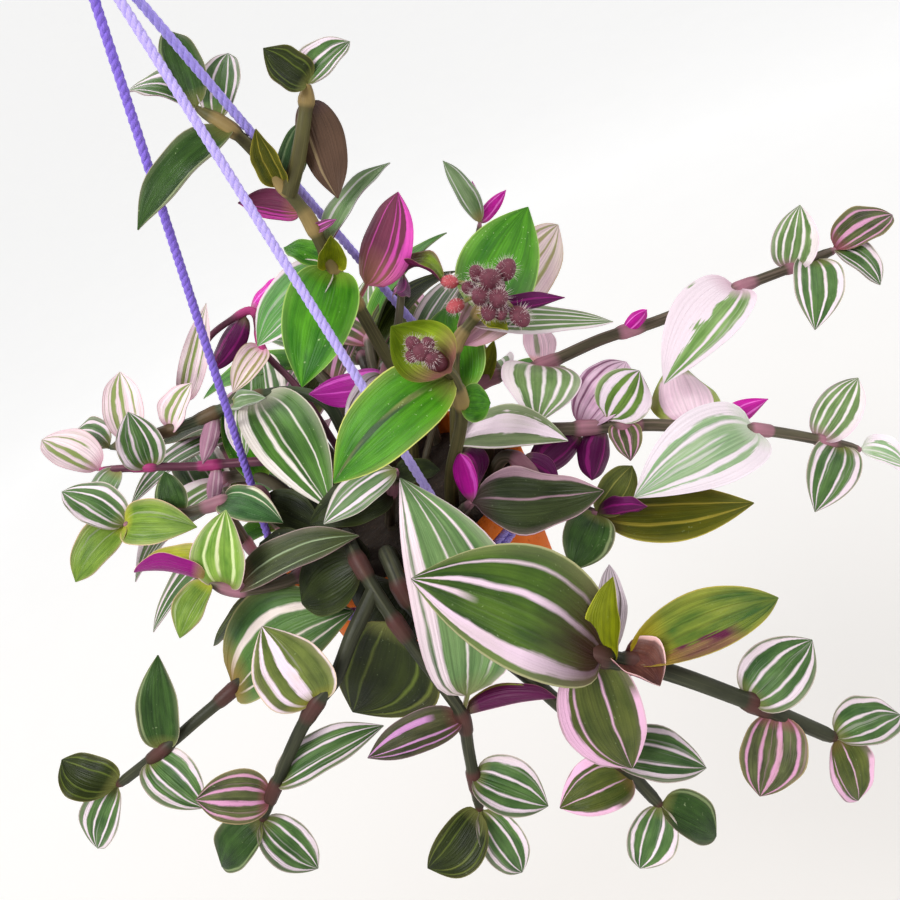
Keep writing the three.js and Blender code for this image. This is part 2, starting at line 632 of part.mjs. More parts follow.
// The middle line of a stem: straight in the soil, then curved through its path. Each point
// keeps its count along the path, so that leaves can be set on it.
function lineOf(path) {
  const curve = new THREE.CatmullRomCurve3(path.slice(1), false, "centripetal");
  const last = path.length - 1;
  const line = [{ count: 0, point: path[0] }, { count: 1, point: path[1] }];
  for (let i = 1; i < last; i++) {
    const parts = Math.max(1, Math.round(path[i].distanceTo(path[i + 1]) / STEM_STEP));
    for (let k = 1; k <= parts; k++) {
      const count = i + k / parts;
      line.push({ count, point: curve.getPoint((count - 1) / (last - 1)) });
    }
  }
  return line;
}

function onLine(line, count) {
  const next = Math.max(1, line.findIndex((stop) => stop.count >= count - 1e-9));
  const [a, b] = [line[next - 1], line[next]];
  return a.point.clone().lerp(b.point, (count - a.count) / (b.count - a.count));
}

function stemSolid(line) {
  const taper = (share) => STEM_RADIUS * (1 - 0.3 * share);
  return solidOf(tube(line.map((stop) => stop.point), STEM_SIDES, taper));
}

const boxOf = (solid) => {
  const { min, max } = solid.boundingBox();
  return new THREE.Box3(new THREE.Vector3(...min), new THREE.Vector3(...max));
};

const placed = [];
function place(owner, solid, outer = solid) {
  placed.push({ owner, solid, outer, box: boxOf(solid) });
}

// A blade clears every other piece whole. On its own stem only the outer part has to be clear.
function isClear(owner, leaf) {
  const whole = bladeSolid(leaf, CLEARANCE);
  const outer = bladeSolid(leaf, 0, OUTER_SHARE);
  const box = boxOf(whole);
  return placed.every((other) => {
    if (!box.intersectsBox(other.box)) return true;
    if (other.owner === owner) return outer.intersect(other.outer).isEmpty();
    return whole.intersect(other.solid).isEmpty();
  });
}

// A leaf that would cross another stem's is bent clear: first a little, then more, then smaller.
const BENDS = [[0, 0]];
for (const reach of [7, 14, 22, 30, 40, 52]) {
  for (const turn of [0, 60, 120, 180, 240, 300]) {
    const angle = THREE.MathUtils.degToRad(turn);
    BENDS.push([reach * Math.cos(angle), reach * Math.sin(angle)]);
  }
}
const SHRINKS = [1, 0.8, 0.6];

function bent(leaf, pitch, yaw, scale) {
  const run = leaf.tip.clone().sub(leaf.base);
  const along = run.clone().normalize();
  const normal = leaf.face.clone().addScaledVector(along, -leaf.face.dot(along)).normalize();
  const side = along.clone().cross(normal);
  const turn = (vector) =>
    vector
      .clone()
      .applyAxisAngle(side, THREE.MathUtils.degToRad(pitch))
      .applyAxisAngle(normal, THREE.MathUtils.degToRad(yaw));
  return {
    ...leaf,
    tip: leaf.base.clone().addScaledVector(turn(run), scale),
    face: turn(leaf.face),
    width: leaf.width * scale,
  };
}

function clearBlade(owner, leaf) {
  for (const scale of SHRINKS) {
    for (const [pitch, yaw] of BENDS) {
      const tried = bent(leaf, pitch, yaw, scale);
      if (isClear(owner, tried)) return tried;
    }
  }
  return null;
}

// Building
const plant = new THREE.Group();
plant.position.set(0, 0, -(HANG_HEIGHT + LOOP_RADIUS * 2.3 + 2 + CORD_RADIUS * 1.15));

const terracotta = { color: 0xc8682e, roughness: 0.9, metalness: 0 };
const earth = { color: 0x1e1712, roughness: 1, metalness: 0 };
const lavender = { color: 0x9f86e0, roughness: 0.8, metalness: 0 };
const foliage = { color: 0x5f7f45, roughness: 0.5, metalness: 0 };
const budPurple = { color: 0x6b3547, roughness: 0.8, metalness: 0 };

function addNode(name, geometry, look) {
  const mesh = new THREE.Mesh(geometry, new THREE.MeshStandardMaterial(look));
  mesh.name = name;
  plant.add(mesh);
}

place("pot", solidOf(potSolid()));
place("ring", ringSolid());
ARM_DEGREES.forEach((degrees) => place("arm", armSolid(degrees)));
place("loop", loopSolid());

// A head of round buds, carried just past the end of its stem.
function budHead(line, radius) {
  const [before, end] = line.slice(-2).map((stop) => stop.point);
  const out = end.clone().sub(before).normalize();
  const at = end.clone().addScaledVector(out, radius * BUD_SEAT + SEAT_GAP);
  const buds = [ball(at, radius, 1, 6)];
  for (let i = 0; i < 7; i++) {
    const turn = (2 * Math.PI * i) / 6;
    const offset = back.clone().multiplyScalar(i === 6 ? 1 : 0.55);
    if (i < 6) {
      offset.addScaledVector(right, 0.75 * Math.cos(turn));
      offset.addScaledVector(up, 0.75 * Math.sin(turn));
    }
    buds.push(ball(at.clone().addScaledVector(offset, radius), radius * 0.45, 1, 5));
  }
  return joined(buds);
}

const stems = {};
const heads = {};
const holes = [];
const runs = [];

function grow(name, parts, leavesOf) {
  stems[name] = parts.map((part) => {
    const line = lineOf(part.path);
    runs.push({ name, leaves: leavesOf(part, line) });
    return stemSolid(line);
  });
  stems[name].forEach((solid) => place(name, solid));
  const { x, y } = parts[0].path[0];
  const depth = ROOT_DEPTH + 14;
  const hole = new THREE.CylinderGeometry(HOLE_RADIUS, HOLE_RADIUS, depth, 6);
  hole.rotateX(Math.PI / 2);
  hole.translate(x, y, SOIL_LEVEL - ROOT_DEPTH - 0.5 + depth / 2);
  holes.push(solidOf(hole));
}

function seenLeaves({ leaves }, line) {
  return leaves.map(([count, x, y, near, width, face, arch, fold]) => ({
    base: onLine(line, count),
    tip: seen(x, y, near),
    width,
    face: towards(face),
    arch,
    fold,
  }));
}

function ruledLeaves({ degrees, leaves }, line) {
  const { length, width } = RULED_LEAF;
  return leaves.map(({ place: count, swing, tilt, size }) => {
    const base = onLine(line, count);
    const out = aroundPot(degrees + swing, Math.cos(THREE.MathUtils.degToRad(tilt)), 0);
    out.z = Math.sin(THREE.MathUtils.degToRad(tilt));
    return {
      ...RULED_LEAF,
      base,
      tip: base.clone().addScaledVector(out, length * size),
      width: width * size,
      face: pot(-out.x * 0.2, -out.y * 0.2, 1),
    };
  });
}

for (const [name, stem] of Object.entries(plants)) {
  grow(name, stem.branch ? [stem, stem.branch] : [stem], seenLeaves);
  if (stem.head) heads[name.replace("stem_bud", "buds")] = budHead(lineOf(stem.path), stem.head);
}
for (const [name, head] of Object.entries(heads)) place(name, head);
trailing.forEach((rule, i) => {
  grow("stem_far_" + (i + 1), [trailingStem(rule)], ruledLeaves);
});

for (const { name, leaves } of runs) {
  for (const leaf of leaves) {
    const clear = clearBlade(name, leaf);
    if (!clear) continue;
    const blade = bladeSolid(clear);
    stems[name].push(blade);
    place(name, blade, bladeSolid(clear, 0, OUTER_SHARE));
  }
}

addNode("pot", potSolid(), terracotta);
addNode("soil", geometryOf(soilSolid(holes)), earth);
addNode("ring", geometryOf(ringSolid()), lavender);
ARM_DEGREES.forEach((degrees, i) => {
  addNode("cord_" + ["right", "front", "left"][i], geometryOf(armSolid(degrees)), lavender);
});
addNode("hang_loop", geometryOf(loopSolid()), lavender);
for (const [name, head] of Object.entries(heads)) {
  addNode(name, geometryOf(head), budPurple);
}
for (const [name, solids] of Object.entries(stems)) {
  addNode(name, geometryOf(joined(solids)), foliage);
}

export default plant;
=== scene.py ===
# %% Load the frame
import math
import random

import bpy
import numpy as np
from mathutils import Matrix, Quaternion, Vector, noise
from mathutils.kdtree import KDTree


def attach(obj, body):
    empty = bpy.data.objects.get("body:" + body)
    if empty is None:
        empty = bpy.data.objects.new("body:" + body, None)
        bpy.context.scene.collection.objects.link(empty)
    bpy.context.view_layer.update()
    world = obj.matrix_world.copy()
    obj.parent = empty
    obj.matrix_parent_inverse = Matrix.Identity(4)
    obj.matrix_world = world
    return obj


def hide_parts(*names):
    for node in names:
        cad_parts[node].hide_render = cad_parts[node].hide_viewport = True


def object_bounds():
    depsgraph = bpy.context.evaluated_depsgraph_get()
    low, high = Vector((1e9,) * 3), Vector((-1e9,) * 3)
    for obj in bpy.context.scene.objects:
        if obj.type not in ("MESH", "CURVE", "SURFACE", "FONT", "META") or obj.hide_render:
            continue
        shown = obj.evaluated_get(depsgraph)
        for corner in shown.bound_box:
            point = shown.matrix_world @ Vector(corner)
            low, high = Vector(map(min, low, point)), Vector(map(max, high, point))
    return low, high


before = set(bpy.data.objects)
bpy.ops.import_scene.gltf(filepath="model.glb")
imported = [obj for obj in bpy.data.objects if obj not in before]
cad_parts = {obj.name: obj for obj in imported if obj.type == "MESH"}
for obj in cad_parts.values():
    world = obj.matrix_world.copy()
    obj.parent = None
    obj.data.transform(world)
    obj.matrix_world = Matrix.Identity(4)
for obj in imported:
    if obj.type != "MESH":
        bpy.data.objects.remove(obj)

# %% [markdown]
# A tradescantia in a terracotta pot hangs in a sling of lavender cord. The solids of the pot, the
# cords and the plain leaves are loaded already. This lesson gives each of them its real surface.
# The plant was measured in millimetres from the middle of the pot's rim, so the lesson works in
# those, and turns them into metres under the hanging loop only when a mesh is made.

LOOP_TOP = 262.37
RIM_RADIUS = 57.5
COLLAR_HEIGHT = 10
COLLAR_STEP = 3.7
BASE_RADIUS = 50.5
POT_HEIGHT = 73
WALL = 5
DRAIN_RADIUS = 6
SOIL_LEVEL = -9

solid_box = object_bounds()


def metres(points):
    """Places in millimetres from the pot's rim, as metres under the hanging loop."""
    return (np.asarray(points, float) - (0, 0, LOOP_TOP)) / 1000


for word, corner in zip(("from", "to"), solid_box):
    print("The solids reach", word, [round(v, 3) for v in corner])

# %% [markdown]
# The camera stands where the photo was taken from: in front of the pot and above it, and tilted.
# The same standpoint places the stems and leaves: each is given by where it is seen in a picture
# 900 units wide and by how near it comes in front of the pot's middle.

# %% Standpoint and camera
STANDPOINT = Vector((0, -339.2, 212))
LOOK_AT = Vector((29.8, 2, 3.2))
CAMERA_TILT = math.radians(27)
PICTURE_WIDTH = 900
PICTURE_MIDDLE = PICTURE_WIDTH / 2
PICTURE_FOCUS = 929
SENSOR_WIDTH = 36

back = (STANDPOINT - LOOK_AT).normalized()
level = Vector((0, 0, 1)).cross(back).normalized()
upright = back.cross(level)
right = level * math.cos(CAMERA_TILT) - upright * math.sin(CAMERA_TILT)
up = upright * math.cos(CAMERA_TILT) + level * math.sin(CAMERA_TILT)
pot_depth = STANDPOINT.dot(back)


def seen(x, y, near):
    """A place given by where it is seen and how near it comes in front of the pot's middle."""
    depth = pot_depth - near
    across = right * ((x - PICTURE_MIDDLE) * depth / PICTURE_FOCUS)
    above = up * ((PICTURE_MIDDLE - y) * depth / PICTURE_FOCUS)
    return STANDPOINT - back * depth + across + above


def towards(way):
    """A direction given as seen: to the right, up and towards the eye."""
    x, y, near = way
    return (right * x + up * y + back * near).normalized()


lens = bpy.data.cameras.new("camera")
lens.sensor_width = SENSOR_WIDTH
lens.lens = SENSOR_WIDTH * PICTURE_FOCUS / PICTURE_WIDTH
lens.clip_start = 0.01
camera = bpy.data.objects.new("camera", lens)
bpy.context.scene.collection.objects.link(camera)
bpy.context.scene.camera = camera
turned = Matrix((right, up, back)).transposed().to_4x4()
camera.matrix_world = Matrix.Translation(metres(STANDPOINT)) @ turned
print("The camera is", round((STANDPOINT - LOOK_AT).length), "mm from what it looks at")

# %% [markdown]
# The studio is a plain white sweep: a pale floor far below, which curves up far out, so that no
# hard shadow and no edge shows. Light comes from all round, and three large soft lamps give the
# leaves their satin shine, the strongest of them from the front and above.

# %% Studio
FLOOR_LEVEL = -1.15
FLOOR_SIZE = 60
FLOOR_CELLS = 60
FLAT_REACH = 6
SWEEP_RISE = 0.016
SKY_TINT = (1, 0.995, 0.985, 1)
SKY_STRENGTH = 0.34
RIM_PLACE = Vector((0, 0, -0.26))


def studio_lamp(name, place, size, power):
    """A square soft lamp that points at the pot's rim."""
    lamp = bpy.data.lights.new(name, "AREA")
    lamp.shape = "SQUARE"
    lamp.size = size
    lamp.energy = power
    holder = bpy.data.objects.new(name, lamp)
    bpy.context.scene.collection.objects.link(holder)
    holder.location = place
    holder.rotation_euler = (Vector(place) - RIM_PLACE).to_track_quat("Z", "Y").to_euler()


studio_lamp("front lamp", (-0.75, -0.75, 1.05), 0.8, 26)
studio_lamp("side lamp", (1.3, -0.2, 0.6), 0.8, 8)
studio_lamp("rear lamp", (-0.3, 1.2, 0.9), 0.9, 12)
world = bpy.data.worlds.new("studio")
world.use_nodes = True
sky = world.node_tree.nodes["Background"].inputs
sky["Color"].default_value = SKY_TINT
sky["Strength"].default_value = SKY_STRENGTH
bpy.context.scene.world = world
bpy.context.scene.view_settings.view_transform = "Standard"

bpy.ops.object.select_all(action="DESELECT")
bpy.ops.mesh.primitive_grid_add(
    x_subdivisions=FLOOR_CELLS, y_subdivisions=FLOOR_CELLS, size=FLOOR_SIZE)
floor = bpy.context.object
floor.name = "floor"
for vertex in floor.data.vertices:
    out = max(0, math.hypot(vertex.co.x, vertex.co.y) - FLAT_REACH)
    vertex.co.z = FLOOR_LEVEL + SWEEP_RISE * out**2
bpy.ops.object.shade_smooth()
print("The floor lies", -FLOOR_LEVEL, "m under the hook")

# %% [markdown]
# A finish is a sum of patterns. To write it as one, a wire stands for the value that leaves a
# node: adding or multiplying wires adds the Math nodes. Colours can't go through those, because
# they would turn grey, so they are mixed and scaled by two methods of their own.

# %% Wires


class Wire:
    """The value that leaves one socket of a material's node."""

    def __init__(self, paint, socket):
        self.paint = paint
        self.socket = socket

    def math(self, operation, *values, **settings):
        return self.paint.node("ShaderNodeMath", {"operation": operation, **settings}, *values)

    def __add__(self, other):
        return self.math("ADD", self, other)

    def __sub__(self, other):
        return self.math("SUBTRACT", self, other)

    def __rsub__(self, other):
        return self.math("SUBTRACT", other, self)

    def __mul__(self, other):
        return self.math("MULTIPLY", self, other)

    __radd__ = __add__
    __rmul__ = __mul__

    def size(self):
        return self.math("ABSOLUTE", self)

    def sign(self):
        return self.math("SIGN", self)

    def most(self, other):
        return self.math("MAXIMUM", self, other)

    def clamp(self):
        return self.math("ADD", self, 0.0, use_clamp=True)

    def above(self, level, contrast):
        """0 below a level, and rising to 1 above it, the faster the higher the contrast."""
        return ((self - level) * contrast).clamp()


print("Wires can be added, subtracted, multiplied, compared and clamped")

# %% [markdown]
# A paint is a material with one Principled shader. One method adds any node, and the others name
# the few that a finish here is made of: clouds of noise, mixed colours and a bump.

# %% Paints


class Paint:
    """A material with one Principled shader, built from wires."""

    def __init__(self, name):
        self.material = bpy.data.materials.new(name)
        self.material.use_nodes = True
        self.tree = self.material.node_tree
        self.shader = self.tree.nodes["Principled BSDF"]

    def node(self, kind, settings=None, *values, out=0, **named):
        """Adds a node, sets it up, then feeds its sockets with wires or plain values."""
        node = self.tree.nodes.new(kind)
        for key, value in (settings or {}).items():
            setattr(node, key, value)
        for key, value in [*enumerate(values), *named.items()]:
            self.feed(node.inputs[key], value)
        return Wire(self, node.outputs[out])

    def feed(self, socket, value):
        """A wire is linked to the socket, and a plain value is set on it."""
        if isinstance(value, Wire):
            self.tree.links.new(value.socket, socket)
        elif socket.type == "RGBA":
            socket.default_value = (*value, 1)
        else:
            socket.default_value = value

    def finish(self, **sockets):
        """Feeds the shader's own sockets, named with underscores for spaces."""
        for key, value in sockets.items():
            self.feed(self.shader.inputs[key.replace("_", " ")], value)
        return self.material

    def attribute(self, name):
        """What the mesh keeps under this name at each point."""
        return self.node("ShaderNodeAttribute", {"attribute_name": name}, out="Vector")

    def place(self):
        return self.node("ShaderNodeTexCoord", out="Object")

    def parts(self, vector):
        """The three numbers of a vector, each on a wire of its own."""
        node = self.node("ShaderNodeSeparateXYZ", {}, vector).socket.node
        return [Wire(self, socket) for socket in node.outputs]

    def joined(self, x, y, z):
        return self.node("ShaderNodeCombineXYZ", {}, x, y, z)

    def cloud(self, vector, scale=1.0, detail=2.0, rough=0.5):
        """Soft noise from 0 to 1."""
        settings = {"Scale": scale, "Detail": detail, "Roughness": rough}
        return self.node("ShaderNodeTexNoise", {}, vector, **settings)

    def mix(self, share, first, second):
        """From the first colour to the second as share goes from 0 to 1."""
        node = self.node("ShaderNodeMix", {"data_type": "RGBA"}).socket.node
        self.feed(node.inputs[0], share)
        self.feed(node.inputs[6], first)
        self.feed(node.inputs[7], second)
        return Wire(self, node.outputs[2])

    def scaled(self, colour, factor):
        """A colour made lighter or darker."""
        node = self.node("ShaderNodeVectorMath", {"operation": "SCALE"}, colour).socket.node
        self.feed(node.inputs["Scale"], factor)
        return Wire(self, node.outputs[0])

    def bump(self, height, strength, depth):
        return self.node("ShaderNodeBump", {}, Height=height, Strength=strength, Distance=depth)


def rgb(red, green, blue):
    """A colour as it is read off a screen, from 0 to 255, as the light that it gives back."""
    shares = [value / 255 for value in (red, green, blue)]
    return tuple(s / 12.92 if s <= 0.04045 else ((s + 0.055) / 1.055) ** 2.4 for s in shares)


print("Middle grey gives back", round(rgb(128, 128, 128)[0], 2), "of the light")

# %% [markdown]
# The floor is matt paper with hardly any grain. It glows a little, so that it stays white, and it is
# duller and warmer under the plant than further out, which is painted shade.

# %% Floor paint
PAINTED_SHADE_REACH = 0.4
PAINTED_SHADE_FADE = 0.42
FLOOR_GLOW = 0.53


def floor_paint():
    """White paper that glows a little, with painted shade that makes it dull and warm under the plant."""
    paint = Paint("sweep")
    grain = paint.cloud(paint.place(), 9)
    x, y, _ = paint.parts(paint.place())
    away = x.math("SQRT", x * x + y * y)
    colour = paint.mix(grain, rgb(249, 249, 249), rgb(252, 252, 252))
    # Painted shade: the paper is duller and warmer under the plant, and fades out to white further away.
    colour = paint.mix(away.above(PAINTED_SHADE_REACH, PAINTED_SHADE_FADE), rgb(201, 198, 195), colour)
    paint.finish(Base_Color=colour, Roughness=0.95)
    return paint.finish(Emission_Color=colour, Emission_Strength=FLOOR_GLOW)


floor.data.materials.append(floor_paint())
print("The floor's paint has", len(floor.active_material.node_tree.nodes), "nodes")

# %% [markdown]
# A terracotta pot is thrown on a wheel, so its section is drawn once, from the drain hole up the
# outside, over the rim and down the inside, and spun. The lip and the foot are worn soft, which a
# small bevel gives. The clay is orange, with paler salt bloom and fine sandy grain.

# %% Pot
ROUND_STEPS = 96
FOOT_BEVEL = 2
LIP_BEVEL = 1.5
INNER_BEVEL = 2
COLLAR_BEVEL = 0.6
WORN_EDGE = 0.0007


def finished(piece, node):
    """Lets a piece ride with the frame, in place of the plain solid that it stands for."""
    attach(piece, "root")
    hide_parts(node)


def mesh_piece(name, points, faces, edges=()):
    """A new selected object from places in millimetres."""
    mesh = bpy.data.meshes.new(name)
    mesh.from_pydata(metres(points).tolist(), list(edges), faces)
    piece = bpy.data.objects.new(name, mesh)
    bpy.context.scene.collection.objects.link(piece)
    choose(piece)
    return piece


def choose(piece):
    """Makes one object the only selected one."""
    bpy.ops.object.select_all(action="DESELECT")
    piece.select_set(True)
    bpy.context.view_layer.objects.active = piece


def inner_radius(z):
    return RIM_RADIUS - WALL + (RIM_RADIUS - BASE_RADIUS) * z / POT_HEIGHT


pot_floor = -POT_HEIGHT + WALL
shoulder = RIM_RADIUS - COLLAR_STEP
section = [
    (DRAIN_RADIUS, -POT_HEIGHT),
    (BASE_RADIUS - FOOT_BEVEL, -POT_HEIGHT),
    (BASE_RADIUS, -POT_HEIGHT + FOOT_BEVEL),
    ((BASE_RADIUS + shoulder) / 2, -(POT_HEIGHT + COLLAR_HEIGHT) / 2),
    (shoulder, -COLLAR_HEIGHT),
    (RIM_RADIUS - COLLAR_BEVEL, -COLLAR_HEIGHT),
    (RIM_RADIUS, -COLLAR_HEIGHT + LIP_BEVEL),
    (RIM_RADIUS, -LIP_BEVEL),
    (RIM_RADIUS - LIP_BEVEL, 0),
    (RIM_RADIUS - WALL + INNER_BEVEL / 2, 0),
    (inner_radius(-INNER_BEVEL), -INNER_BEVEL),
    (inner_radius(pot_floor), pot_floor),
    (DRAIN_RADIUS, pot_floor),
]
corners = [(radius, 0, z) for radius, z in section]
count = len(corners)
pot = mesh_piece("pot_clay", corners, [], [(i, (i + 1) % count) for i in range(count)])
bpy.ops.object.mode_set(mode="EDIT")
bpy.ops.mesh.select_all(action="SELECT")
bpy.ops.mesh.spin(steps=ROUND_STEPS, angle=2 * math.pi, center=(0, 0, 0), axis=(0, 0, 1))
bpy.ops.mesh.select_all(action="SELECT")
bpy.ops.mesh.remove_doubles(threshold=1e-5)
bpy.ops.mesh.normals_make_consistent(inside=False)
bpy.ops.object.mode_set(mode="OBJECT")
soften = pot.modifiers.new("worn edges", "BEVEL")
soften.width = WORN_EDGE
soften.segments = 2
soften.limit_method = "ANGLE"
soften.angle_limit = math.radians(25)
bpy.ops.object.modifier_apply(modifier=soften.name)
bpy.ops.object.shade_smooth_by_angle(angle=math.radians(50))


def clay_paint():
    """Orange clay with salt bloom, sandy grain and small dark pits."""
    paint = Paint("terracotta")
    place = paint.place()
    patches = paint.cloud(place, 38, 4, 0.6)
    bloom = paint.cloud(place, 90, 5, 0.7).above(0.56, 6)
    grain = paint.cloud(place, 1400, 2)
    pits = paint.cloud(place, 520, 1).above(0.68, 9)
    clay = paint.mix(patches, rgb(200, 86, 16), rgb(240, 130, 40))
    clay = paint.mix(bloom * 0.25, clay, rgb(230, 172, 124))
    clay = paint.mix(pits * 0.5, clay, rgb(120, 52, 24))
    clay = paint.scaled(clay, 0.9 + grain * 0.2)
    relief = paint.bump(grain - pits * 2, 0.5, 0.0003)
    paint.finish(Specular_IOR_Level=0.2)
    return paint.finish(Base_Color=clay, Roughness=0.82 + grain * 0.12, Normal=relief)


pot.data.materials.append(clay_paint())
finished(pot, "pot")
print("The pot has", len(pot.data.polygons), "faces")

# %% [markdown]
# Potting soil is crumbly peat, nearly black where it is moist. The top of a disc is pushed up and
# down by coarse and fine noise, so that it is lumpy, and the paint shows its crumbs and fibres.

# %% Soil
SOIL_GAP = 0.5
LUMP_HEIGHT = 1.5
soil_floor = pot_floor + SOIL_GAP
bpy.ops.object.select_all(action="DESELECT")
bpy.ops.mesh.primitive_cylinder_add(vertices=72, radius=1, depth=1, end_fill_type="TRIFAN")
soil = bpy.context.object
soil.name = "soil_peat"
bpy.ops.object.mode_set(mode="EDIT")
bpy.ops.mesh.select_all(action="SELECT")
bpy.ops.mesh.subdivide(number_cuts=9)
bpy.ops.object.mode_set(mode="OBJECT")
for vertex in soil.data.vertices:
    x, y, z = vertex.co
    share = z + 0.5
    height = soil_floor + (SOIL_LEVEL - soil_floor) * share
    reach = inner_radius(height) - SOIL_GAP
    if share > 0.99:
        lumps = noise.noise(Vector((x * 9, y * 9, 0))) + 0.5 * noise.noise(Vector((x * 22, y * 22, 3)))
        level_to_wall = min(1, (1.02 - math.hypot(x, y)) * 8)
        height += LUMP_HEIGHT * lumps * level_to_wall
    vertex.co = metres((x * reach, y * reach, height))
choose(soil)
bpy.ops.object.shade_smooth_by_angle(angle=math.radians(40))


def soil_paint():
    """Dark crumbs with a few pale fibres."""
    paint = Paint("peat")
    place = paint.place()
    crumbs = paint.cloud(place, 420, 4, 0.7)
    fibres = paint.cloud(place, 1100, 3).above(0.62, 8)
    colour = paint.mix(crumbs, rgb(16, 12, 9), rgb(58, 44, 32))
    colour = paint.mix(fibres * 0.6, colour, rgb(112, 88, 62))
    return paint.finish(Base_Color=colour, Roughness=0.95, Normal=paint.bump(crumbs, 0.9, 0.001))


soil.data.materials.append(soil_paint())
finished(soil, "soil")
print("The soil has", len(soil.data.polygons), "faces")

# %% [markdown]
# Stems, cords and bud stalks are all tubes that follow a line. A tube is a ring of points carried
# along the line without a twist and closed at both ends.

# %% Tubes


def frames(points):
    """The direction of a line at each point, and two directions square to it."""
    points = np.asarray(points, float)
    along = np.gradient(points, axis=0)
    along /= np.linalg.norm(along, axis=1)[:, None]
    start = (1, 0, 0) if abs(along[0][2]) > 0.9 else (0, 0, 1)
    first = np.cross(start, along[0])
    firsts = []
    for way in along:
        first = first - way * first.dot(way)
        first = first / np.linalg.norm(first)
        firsts.append(first)
    firsts = np.array(firsts)
    return along, firsts, np.cross(along, firsts)


def tube(points, radii, sides):
    """Points and faces of a closed tube along a line."""
    points = np.asarray(points, float)
    _, first, second = frames(points)
    turns = 2 * math.pi * np.arange(sides) / sides
    ring = np.cos(turns)[None, :, None] * first[:, None] + np.sin(turns)[None, :, None] * second[:, None]
    skin = points[:, None] + ring * np.broadcast_to(radii, len(points))[:, None, None]
    faces = []
    for r in range(len(points) - 1):
        for i in range(sides):
            j = (i + 1) % sides
            faces.append((r * sides + i, r * sides + j, (r + 1) * sides + j, (r + 1) * sides + i))
    last = (len(points) - 1) * sides
    faces.append(tuple(reversed(range(sides))))
    faces.append(tuple(range(last, last + sides)))
    return skin.reshape(-1, 3), faces


_, sample_faces = tube([(0, 0, 0), (1, 0, 0), (2, 0, 0)], 1, 6)
print("A six-sided tube through three places has", len(sample_faces), "faces")

# %% [markdown]
# A stem with its leaves is one piece, and so is the ring of cords. Their bodies are gathered in a
# shell, together with what the paint has to know at each point: its colours, and where it lies on
# its leaf, stem or strand. The shell is made a mesh once, and keeps those facts as attributes.

# %% Shell of a piece


class Shell:
    """Bodies gathered to be made one mesh, with what the paint needs to know at each point."""

    def __init__(self):
        self.points, self.faces, self.looks = [], [], []
        self.facts, self.count = {}, 0

    def add(self, points, faces, look=0, **facts):
        self.points.append(points)
        self.faces += [tuple(self.count + i for i in face) for face in faces]
        self.looks += [look] * len(faces)
        for name, values in facts.items():
            spread = np.broadcast_to(values, (len(points), 3))
            self.facts.setdefault(name, []).append((self.count, spread))
        self.count += len(points)

    def made(self, name, *materials):
        """The shell as one mesh piece. A body's look is the number of its material."""
        piece = mesh_piece(name, np.concatenate(self.points), self.faces)
        for material in materials:
            piece.data.materials.append(material)
        piece.data.polygons.foreach_set("material_index", self.looks)
        for fact, kept in self.facts.items():
            whole = np.zeros((self.count, 3), np.float32)
            for start, values in kept:
                whole[start : start + len(values)] = values
            layer = piece.data.attributes.new(fact, "FLOAT_VECTOR", "POINT")
            layer.data.foreach_set("vector", whole.ravel())
        bpy.ops.object.shade_smooth_by_angle(angle=math.radians(55))
        return piece


print("An empty shell has", Shell().count, "points")

# %% [markdown]
# The sling's cord is laid from three strands, so each strand is a tube whose own line winds round
# the line of the cord. All of it is one lavender yarn, but its front arm is painted paler as painted
# light and its left arm darker as painted shade, so there are three tones.

# %% Twisted cord
CORD_RADIUS = 1.8
STRAND_RADIUS = 1.08
STRANDS = 3
STRAND_SIDES = 8
STRAND_SHIFT = 3.7
LAY_LENGTH = 8
CORD_STEP = 0.95
# The pale tone of the front arm is painted light, and the darker, stronger tone of the left arm is painted
# shade. The middle tone is the yarn's own colour, on the right arm, the ring and the loop.
YARN_WITH_PAINTED_LIGHT = {
    "pale": dict(ground=rgb(216, 202, 248), deep=rgb(130, 108, 214)),
    "middle": dict(ground=rgb(196, 182, 242), deep=rgb(104, 82, 204)),
    "shaded_yarn": dict(ground=rgb(156, 128, 224), deep=rgb(78, 42, 178)),
}


def spaced(points, step):
    """The same line with a point at every step."""
    points = np.asarray(points, float)
    gone = np.concatenate([[0], np.cumsum(np.linalg.norm(np.diff(points, axis=0), axis=1))])
    places = np.linspace(0, gone[-1], max(2, round(gone[-1] / step) + 1))
    return np.stack([np.interp(places, gone, points[:, k]) for k in range(3)], 1), places


def lay_cord(shell, line, radius=CORD_RADIUS, yarn_tone="middle"):
    """Strands wound round a line."""
    line, gone = spaced(line, CORD_STEP)
    _, first, second = frames(line)
    strand_radius = STRAND_RADIUS * radius / CORD_RADIUS
    offset = radius - strand_radius
    for strand in range(STRANDS):
        turn = 2 * math.pi * (gone / LAY_LENGTH + strand / STRANDS)
        wound = line + offset * (np.cos(turn)[:, None] * first + np.sin(turn)[:, None] * second)
        points, faces = tube(wound, strand_radius, STRAND_SIDES)
        length = np.repeat(gone, STRAND_SIDES)
        around = np.tile(np.arange(STRAND_SIDES) / STRAND_SIDES, len(line))
        which = np.full(len(points), strand * STRAND_SHIFT)
        shell.add(points, faces, spot=np.stack([length, around, which], 1), **YARN_WITH_PAINTED_LIGHT[yarn_tone])


